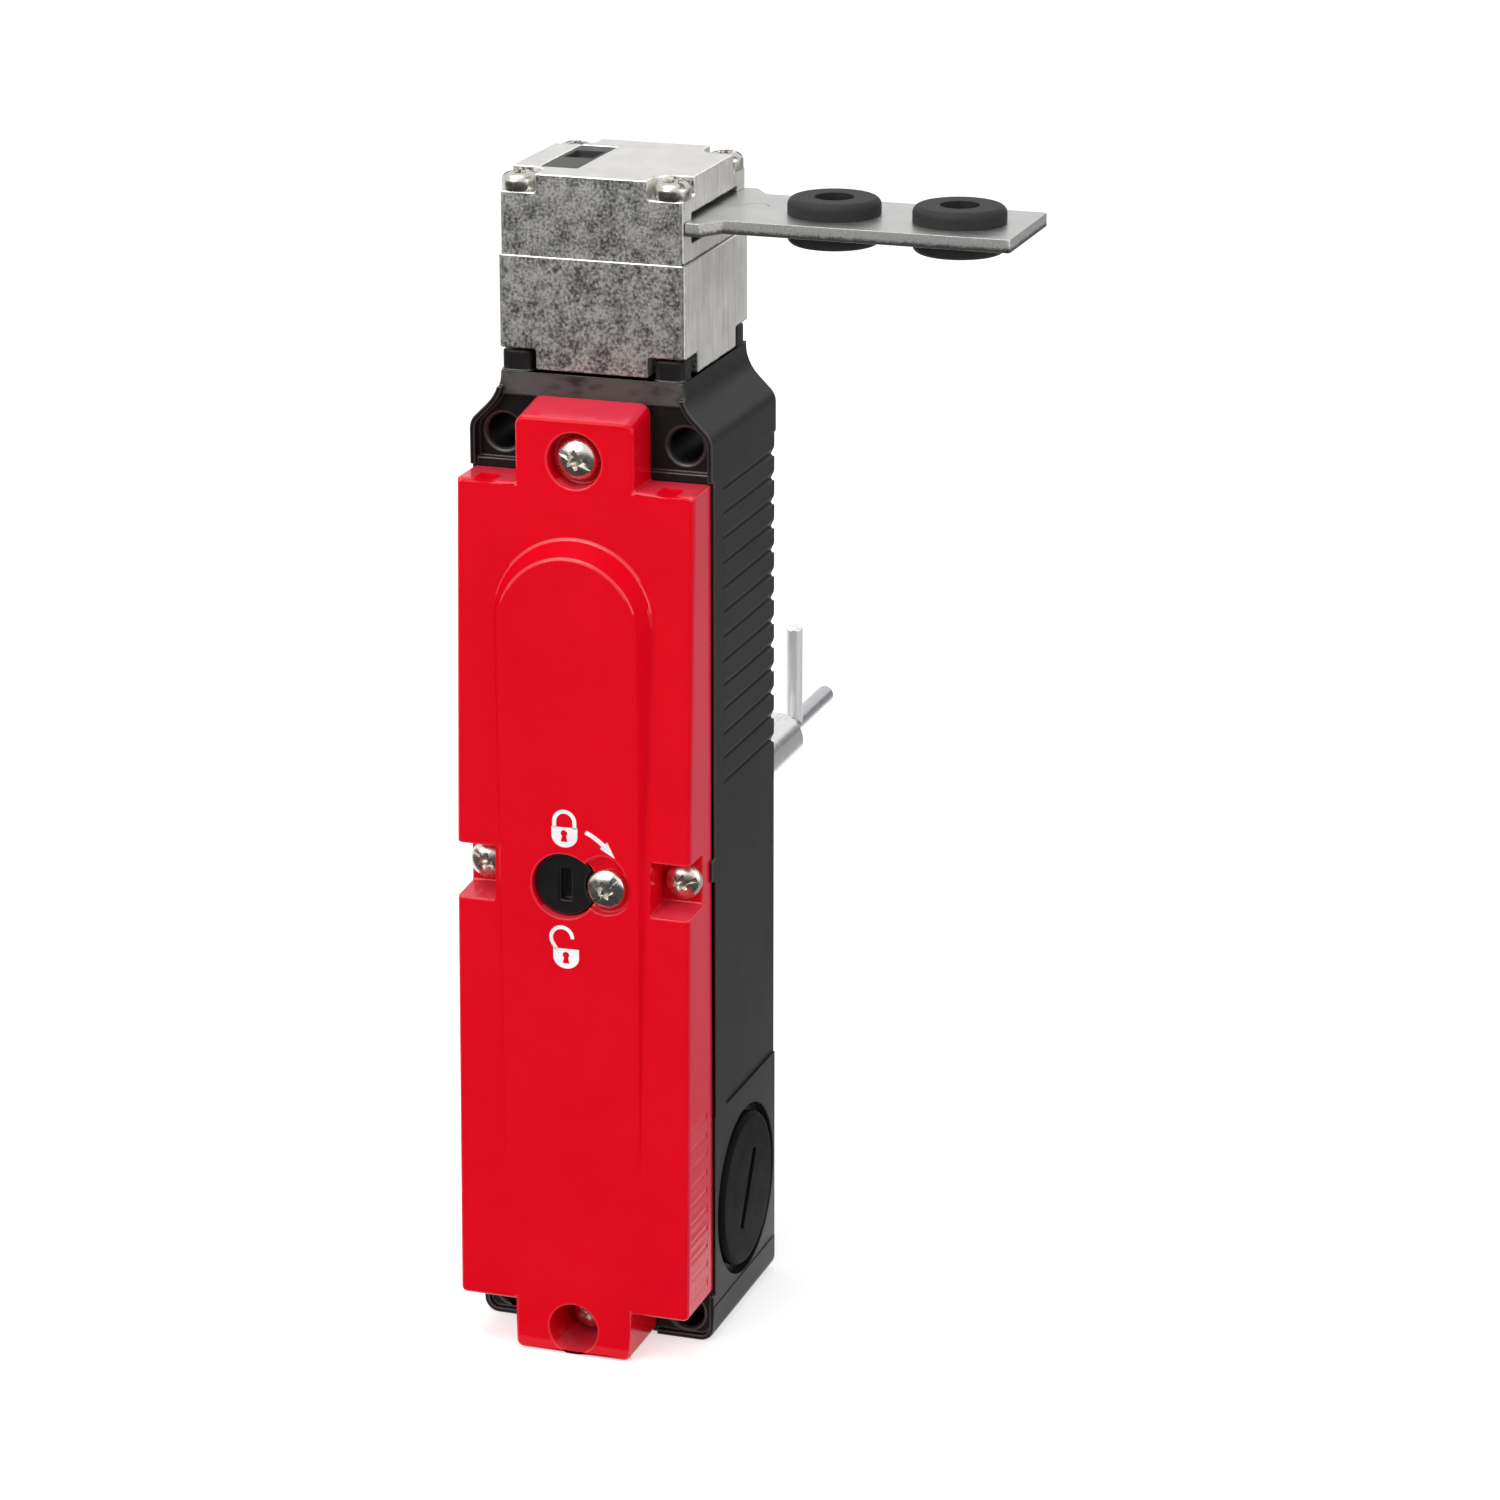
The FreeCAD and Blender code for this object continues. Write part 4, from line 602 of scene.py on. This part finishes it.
# the sheared edge of the tongue, with the rounded rims left as the sheet
tongueLean = 0.6
giveFaces(pieces["tongueSheet"], finishes["tongueEdge"], lambda middle, way: abs(way.z) < tongueLean)
print("head, cover, housing and tongue finished by face")


# round-headed screws with a six-lobed recess and a slot, one turned blank copied to each place
screwShape = {"head": 3.05, "side": 0.6, "height": 2.2, "shank": 1.85, "stub": 3.0, "shankFrom": -0.5,
              "sides": 48, "rings": 24, "recess": 1.15, "lobe": 0.27, "lobes": 6, "recessDepth": 1.3,
              "slotLength": 8.0, "slotWidth": 0.7, "slotDepth": 0.75, "cutter": 4.0,
              "edge": 0.06, "edgeAngle": 45}
screwPlaces = {
    # name: x, height, seat, turn of the slot, size of the head, shank added
    "coverScrewTop": (0, 147.9, -36.8, -25, 1.13, 9.3),
    "coverScrewLow": (0, 4.6, -34.6, 35, 1.06, 4.6),
    "coverScrewLeft": (-16.4, 80.5, -35.3, -40, 1.0, 9.3),
    "coverScrewRight": (16.4, 80.5, -35.3, 15, 1.0, 9.3),
    "lockScrewRound": (6.0, 80.2, -42.2, 50, 1.05, 2.6),
}
# the lock screw has a lower head and a thinner shank, from this far behind its seat
lockShape = {"lower": 0.8, "thinner": 0.8, "shankFrom": 0.5}


def turnedBlank(name, shape):
    dome = shape["height"] - shape["side"]
    clearSelection()
    bpy.ops.mesh.primitive_uv_sphere_add(segments=shape["sides"], ring_count=shape["rings"], radius=1)
    screw = bpy.context.object
    screw.name = name
    bpy.ops.object.mode_set(mode="EDIT")
    bpy.ops.mesh.select_all(action="SELECT")
    bpy.ops.mesh.bisect(plane_co=(0, 0, 0), plane_no=(0, 0, 1), clear_inner=True)
    bpy.ops.mesh.select_all(action="SELECT")
    wide = shape["head"] * mm
    bpy.ops.transform.resize(value=(wide, wide, dome * mm), center_override=(0, 0, 0))
    bpy.ops.transform.translate(value=(0, 0, shape["side"] * mm))
    bpy.ops.mesh.select_mode(type="EDGE")
    bpy.ops.mesh.select_all(action="DESELECT")
    bpy.ops.mesh.select_non_manifold(extend=False)
    bpy.ops.mesh.extrude_region_move(TRANSFORM_OT_translate={"value": (0, 0, -shape["side"] * mm)})
    bpy.ops.mesh.extrude_region_move(TRANSFORM_OT_translate={"value": (0, 0, 0)})
    inward = shape["shank"] / shape["head"]
    bpy.ops.transform.resize(value=(inward, inward, 1), center_override=(0, 0, 0))
    bpy.ops.mesh.extrude_region_move(TRANSFORM_OT_translate={"value": (0, 0, -shape["stub"] * mm)})
    bpy.ops.mesh.edge_face_add()
    bpy.ops.mesh.select_all(action="SELECT")
    bpy.ops.mesh.normals_make_consistent(inside=False)
    bpy.ops.object.mode_set(mode="OBJECT")
    return screw


def carve(piece, cutter):
    pickOnly(piece)
    cutting = piece.modifiers.new("carving", "BOOLEAN")
    cutting.operation = "DIFFERENCE"
    cutting.solver = "EXACT"
    cutting.object = cutter
    bpy.ops.object.modifier_apply(modifier=cutting.name)
    bpy.data.objects.remove(cutter)


def makeScrewBlank(shape):
    screw = turnedBlank("screwBlank", shape)
    above = shape["height"] + shape["cutter"] / 2  # middle of a cutter that stands on the head
    clearSelection()
    bpy.ops.mesh.primitive_cylinder_add(vertices=shape["sides"], radius=mm, depth=shape["cutter"] * mm,
                                        location=(0, 0, (above - shape["recessDepth"]) * mm))
    lobes = bpy.context.object
    for vertex in lobes.data.vertices:
        turn = math.atan2(vertex.co.y, vertex.co.x)
        reach = (shape["recess"] + shape["lobe"] * math.cos(shape["lobes"] * turn)) * mm
        vertex.co.x, vertex.co.y = reach * math.cos(turn), reach * math.sin(turn)
    carve(screw, lobes)
    clearSelection()
    slot = (shape["slotLength"] * mm, shape["slotWidth"] * mm, shape["cutter"] * mm)
    bpy.ops.mesh.primitive_cube_add(size=1, location=(0, 0, (above - shape["slotDepth"]) * mm), scale=slot)
    carve(screw, bpy.context.object)
    roundEdges(screw, shape["edge"], segments=1, angle=shape["edgeAngle"])
    return softShade(screw)


def setScrew(blank, name, x, height, seat, turn, size, longer):
    pickOnly(blank)
    bpy.ops.object.duplicate()
    screw = bpy.context.object
    screw.name = name
    for vertex in screw.data.vertices:
        if vertex.co.z < screwShape["shankFrom"] * mm:
            vertex.co.z -= longer * mm
        else:
            vertex.co.x *= size
            vertex.co.y *= size
    screw.rotation_euler = (math.radians(90), math.radians(-turn), 0)
    screw.location = place(x, seat, height)
    bpy.ops.object.transform_apply(location=True, rotation=True, scale=True)
    return screw


blank = makeScrewBlank(screwShape)
screws = {name: setScrew(blank, name, *spot) for name, spot in screwPlaces.items()}
bpy.data.objects.remove(blank)
lockScrew = screws.pop("lockScrewRound")
lockX, lockHeight, lockSeat = screwPlaces["lockScrewRound"][:3]
for vertex in lockScrew.data.vertices:
    behind = vertex.co.y / mm - lockSeat
    if behind < 0:
        vertex.co.y = (lockSeat + behind * lockShape["lower"]) * mm
    elif behind > lockShape["shankFrom"]:
        axis = place(lockX, 0, lockHeight)
        vertex.co.x = axis.x + (vertex.co.x - axis.x) * lockShape["thinner"]
        vertex.co.z = axis.z + (vertex.co.z - axis.z) * lockShape["thinner"]
clearSelection()
for screw in screws.values():
    screw.select_set(True)
bpy.context.view_layer.objects.active = screws["coverScrewTop"]
bpy.ops.object.join()
coverScrewSet = bpy.context.object
coverScrewSet.name = "coverScrewSet"
dress(coverScrewSet, finishes["nickel"], bodyOf["cover_screws"], "nickel_screw", "cover_screws")
dress(lockScrew, finishes["nickel"], bodyOf["key_lock_screw"], "nickel_screw", "key_lock_screw")
print("screws set")


plainNodes = {
    "cover_gasket": "seal", "key_seal_ring": "seal", "head_gasket": "seal", "plug_seals": "seal",
    "cam_axle": "steel", "contact_block": "grey", "contact_terminals": "brass", "coil_bobbin": "grey",
    "solenoid_coil": "copper", "solenoid_yoke": "steel", "escape_bush": "blackPlastic",
    "circuit_board": "board", "terminal_block": "darkGrey", "earth_screw": "nickel",
    "cam_wheel": "steel", "cam_plunger": "grey", "contact_bridge": "brass", "locking_bolt": "steel",
    "solenoid_armature": "steel", "escape_clip": "steel", "escape_cam": "steel",
}
for nodeName, finishName in plainNodes.items():
    node = frame["nodes"][nodeName]
    node.data.materials.clear()
    node.data.materials.append(finishes[finishName])
print("plain nodes finished:", len(plainNodes))


# white signs printed on the pad, in millimetres across and up
signs = {
    "padFace": -43.3, "ink": 0.03, "steps": 20,
    "closedMiddle": (-0.71, 88.45), "closedHole": (-0.06, 0.4),
    "openMiddle": (-0.66, 68.25), "openHole": (-0.02, 0.35),
}
lockSign = {"half": 2.15, "drop": 1.88, "leftTop": 1.4, "rightTop": 1.45}
holeSign = {"radius": 0.56, "from": -50, "to": 230, "footHalf": 0.58, "footBelow": 1.38}
closedLoop = {"half": 1.68, "rise": 1.7, "centre": 2.3, "foot": 1.3, "stroke": 0.32}
openLoop = {"middle": (-1.36, 71.42), "radius": 1.79, "to": 218, "foot": (-2.3, 69.55), "stroke": 0.3}
arrow = {
    "above": [(2.98, 89.69), (3.8, 89.33), (4.6, 88.87), (5.4, 88.3), (6.05, 87.8)],
    "point": [(6.39, 88.12), (7.65, 85.57), (5.22, 86.95)],
    "below": [(5.47, 87.3), (4.9, 87.76), (4.15, 88.3), (3.4, 88.75), (2.63, 89.1)],
}


def bow(centre, radii, start, end):
    # points along part of an ellipse, angles in degrees
    points, steps = [], signs["steps"]
    for step in range(steps + 1):
        turn = math.radians(start + (end - start) * step / steps)
        points.append((centre[0] + radii[0] * math.cos(turn), centre[1] + radii[1] * math.sin(turn)))
    return points


def widened(line, half):
    # outline of a stroke along a line of points
    left, right = [], []
    for index, (x, z) in enumerate(line):
        before, after = line[max(index - 1, 0)], line[min(index + 1, len(line) - 1)]
        along = Vector((after[0] - before[0], after[1] - before[1])).normalized()
        left.append((x - along.y * half, z + along.x * half))
        right.append((x + along.y * half, z - along.x * half))
    return left + right[::-1]


def printSign(name, outlines):
    # flat curve with its holes filled round, made a mesh, then stood up on the pad
    clearSelection()
    shape = bpy.data.curves.new(name, "CURVE")
    shape.dimensions = "2D"
    shape.fill_mode = "BOTH"
    shape.extrude = signs["ink"] * mm / 2
    for outline in outlines:
        line = shape.splines.new("POLY")
        line.points.add(len(outline) - 1)
        for point, (x, z) in zip(line.points, outline):
            point.co = (x * mm, (z - footDrop) * mm, 0, 1)
        line.use_cyclic_u = True
    sign = bpy.data.objects.new(name, shape)
    bpy.context.collection.objects.link(sign)
    pickOnly(sign)
    bpy.ops.object.convert(target="MESH")
    sign = bpy.context.object
    sign.rotation_euler = (math.radians(90), 0, 0)
    sign.location = (0, (signs["padFace"] - signs["ink"] / 2) * mm, 0)
    bpy.ops.object.transform_apply(location=True, rotation=True, scale=True)
    dress(sign, finishes["print"], bodyOf["red_cover"], "red_cover")


def keyhole(x, z):
    radius, half, foot = holeSign["radius"], holeSign["footHalf"], z - holeSign["footBelow"]
    ring = bow((x, z), (radius, radius), holeSign["from"], holeSign["to"])
    return ring + [(x - half, foot), (x + half, foot)]


def lockBody(x, z):
    # square shoulders, round below
    half = lockSign["half"]
    shoulders = [(x - half, z + lockSign["leftTop"]), (x + half, z + lockSign["rightTop"])]
    return shoulders + bow((x, z), (half, lockSign["drop"]), 0, -180)


def closedShackle(x, z):
    half, foot = closedLoop["half"], z + closedLoop["foot"]
    ring = bow((x, z + closedLoop["centre"]), (half, closedLoop["rise"]), 0, 180)
    return widened([(x + half, foot)] + ring + [(x - half, foot)], closedLoop["stroke"])


def openShackle():
    ring = bow(openLoop["middle"], (openLoop["radius"], openLoop["radius"]), 0, openLoop["to"])
    return widened(ring + [openLoop["foot"]], openLoop["stroke"])


def movedBy(middle, step):
    return middle[0] + step[0], middle[1] + step[1]


closedMiddle, openMiddle = signs["closedMiddle"], signs["openMiddle"]
printSign("signClosedLock", [lockBody(*closedMiddle), keyhole(*movedBy(closedMiddle, signs["closedHole"]))])
printSign("signClosedShackle", [closedShackle(*closedMiddle)])
printSign("signOpenLock", [lockBody(*openMiddle), keyhole(*movedBy(openMiddle, signs["openHole"]))])
printSign("signOpenShackle", [openShackle()])
printSign("signArrow", [arrow["above"] + arrow["point"] + arrow["below"]])
print("signs printed")


studio = {
    "floorSize": 6.0,
    "floorColour": (0.8, 0.8, 0.8),
    "floorGlow": 0.56,
    "cameraPlace": (0.25789, -0.72873, 0.26136),
    "cameraTilt": 72.16,
    "cameraTurn": 18.4,
    "lens": 118.66,
    "sensor": 36,
    "nearest": 0.05,
    "sky": 0.55,
    "lampAim": (0, 0, 0.02),
}
lamps = {
    # name: place, size, power
    "lampAbove": ((-0.15, -0.3, 1.2), 0.6, 5),
    "lampRight": ((1.0, -0.2, 0.45), 0.7, 2.3),
    "lampFront": ((-0.5, -1.1, 0.6), 0.8, 5.6),
}


def seenDirectly(tree):
    # 1 for the camera, for reflections and through glass
    rays = addNode(tree, "ShaderNodeLightPath")
    result = rays.outputs["Is Camera Ray"]
    for kind in ("Is Glossy Ray", "Is Transmission Ray"):
        result = sums(tree, "MAXIMUM", result, rays.outputs[kind])
    return result


def bareMaterial(name):
    # a material with nothing but its output
    material = bpy.data.materials.new(name)
    material.use_nodes = True
    material.node_tree.nodes.clear()
    return material, material.node_tree, addNode(material.node_tree, "ShaderNodeOutputMaterial")


def makeFloor():
    bpy.ops.mesh.primitive_plane_add(size=studio["floorSize"], location=(0, 0, -footDrop * mm))
    floor = bpy.context.object
    floor.name = "studioFloor"
    floor.data.transform(floor.matrix_world)
    floor.matrix_world.identity()
    paper, tree, out = bareMaterial("whitePaper")
    matte = addNode(tree, "ShaderNodeBsdfDiffuse")
    matte.inputs["Color"].default_value = (*studio["floorColour"], 1)
    glow = addNode(tree, "ShaderNodeEmission")
    both = addNode(tree, "ShaderNodeAddShader")
    tree.links.new(sums(tree, "MULTIPLY", seenDirectly(tree), studio["floorGlow"]), glow.inputs["Strength"])
    tree.links.new(matte.outputs[0], both.inputs[0])
    tree.links.new(glow.outputs[0], both.inputs[1])
    tree.links.new(both.outputs[0], out.inputs["Surface"])
    floor.data.materials.append(paper)


def makeWorld():
    world = bpy.data.worlds.new("studioWorld")
    bpy.context.scene.world = world
    world.use_nodes = True
    tree = world.node_tree
    tree.nodes.clear()
    out = addNode(tree, "ShaderNodeOutputWorld")
    sky = addNode(tree, "ShaderNodeBackground")
    paper = addNode(tree, "ShaderNodeBackground")
    sky.inputs["Strength"].default_value = studio["sky"]
    paper.inputs["Strength"].default_value = 1.0
    for node in (sky, paper):
        node.inputs["Color"].default_value = (1, 1, 1, 1)
    mix = addNode(tree, "ShaderNodeMixShader")
    tree.links.new(seenDirectly(tree), mix.inputs["Fac"])
    tree.links.new(sky.outputs[0], mix.inputs[1])
    tree.links.new(paper.outputs[0], mix.inputs[2])
    tree.links.new(mix.outputs[0], out.inputs["Surface"])


# cards outside the picture, seen only in reflections, give metal and paint their contrast
cards = {
    # name: brightness, then the corners in metres
    "cardInFront": (0.05, [(-1.3, -0.046, -0.0755), (0.5, -0.046, -0.0755), (0.5, -1.2, 0.32),
                           (-1.3, -1.2, 0.32)]),
    "cardBehindRight": (0.4, [(0.03, -0.04, -0.0755), (1.1, -0.04, -0.0755), (1.1, 1.3, 0.1),
                              (0.03, 1.3, 0.1)]),
    "cardStripRight": (0.2, [(0.35, 1.0, 0.02), (1.2, 0.8, 0.02), (1.2, 0.8, 0.3), (0.35, 1.0, 0.3)]),
    "cardAbove": (3.2, [(-0.75, -0.75, 1.0), (0.1, -0.75, 1.0), (0.1, 0.02, 1.0), (-0.75, 0.02, 1.0)]),
    "cardRightAbove": (0.15, [(0.605, 0.46, 1.089), (1.095, 0.46, 0.591), (1.095, -0.34, 0.591),
                              (0.605, -0.34, 1.089)]),
}


def makeCard(name, level, corners):
    shape = bpy.data.meshes.new(name)
    shape.from_pydata(corners, [], [(0, 1, 2, 3)])
    card = bpy.data.objects.new(name, shape)
    bpy.context.collection.objects.link(card)
    board, tree, out = bareMaterial(name + "Board")
    glow = addNode(tree, "ShaderNodeEmission")
    glow.inputs["Color"].default_value = (1, 1, 1, 1)
    glow.inputs["Strength"].default_value = level
    tree.links.new(glow.outputs[0], out.inputs["Surface"])
    shape.materials.append(board)
    card.visible_camera = False
    card.visible_diffuse = False
    card.visible_transmission = False
    card.visible_volume_scatter = False
    card.visible_shadow = False


def addLamp(name, location, size, power):
    clearSelection()
    bpy.ops.object.light_add(type="AREA", location=location)
    lamp = bpy.context.object
    lamp.name = name
    lamp.data.size = size
    lamp.data.energy = power
    aim = Vector(studio["lampAim"]) - Vector(location)
    lamp.rotation_euler = aim.to_track_quat("-Z", "Y").to_euler()


def makeCamera():
    clearSelection()
    bpy.ops.object.camera_add(location=studio["cameraPlace"])
    camera = bpy.context.object
    camera.name = "photoCamera"
    camera.rotation_euler = (math.radians(studio["cameraTilt"]), 0, math.radians(studio["cameraTurn"]))
    camera.data.lens = studio["lens"]
    camera.data.sensor_width = studio["sensor"]
    camera.data.clip_start = studio["nearest"]
    bpy.context.scene.camera = camera


clearSelection()
makeFloor()
makeWorld()
for cardName, card in cards.items():
    makeCard(cardName, *card)
for lampName, lamp in lamps.items():
    addLamp(lampName, *lamp)
makeCamera()
bpy.context.scene.view_settings.view_transform = "Standard"
print("studio ready")
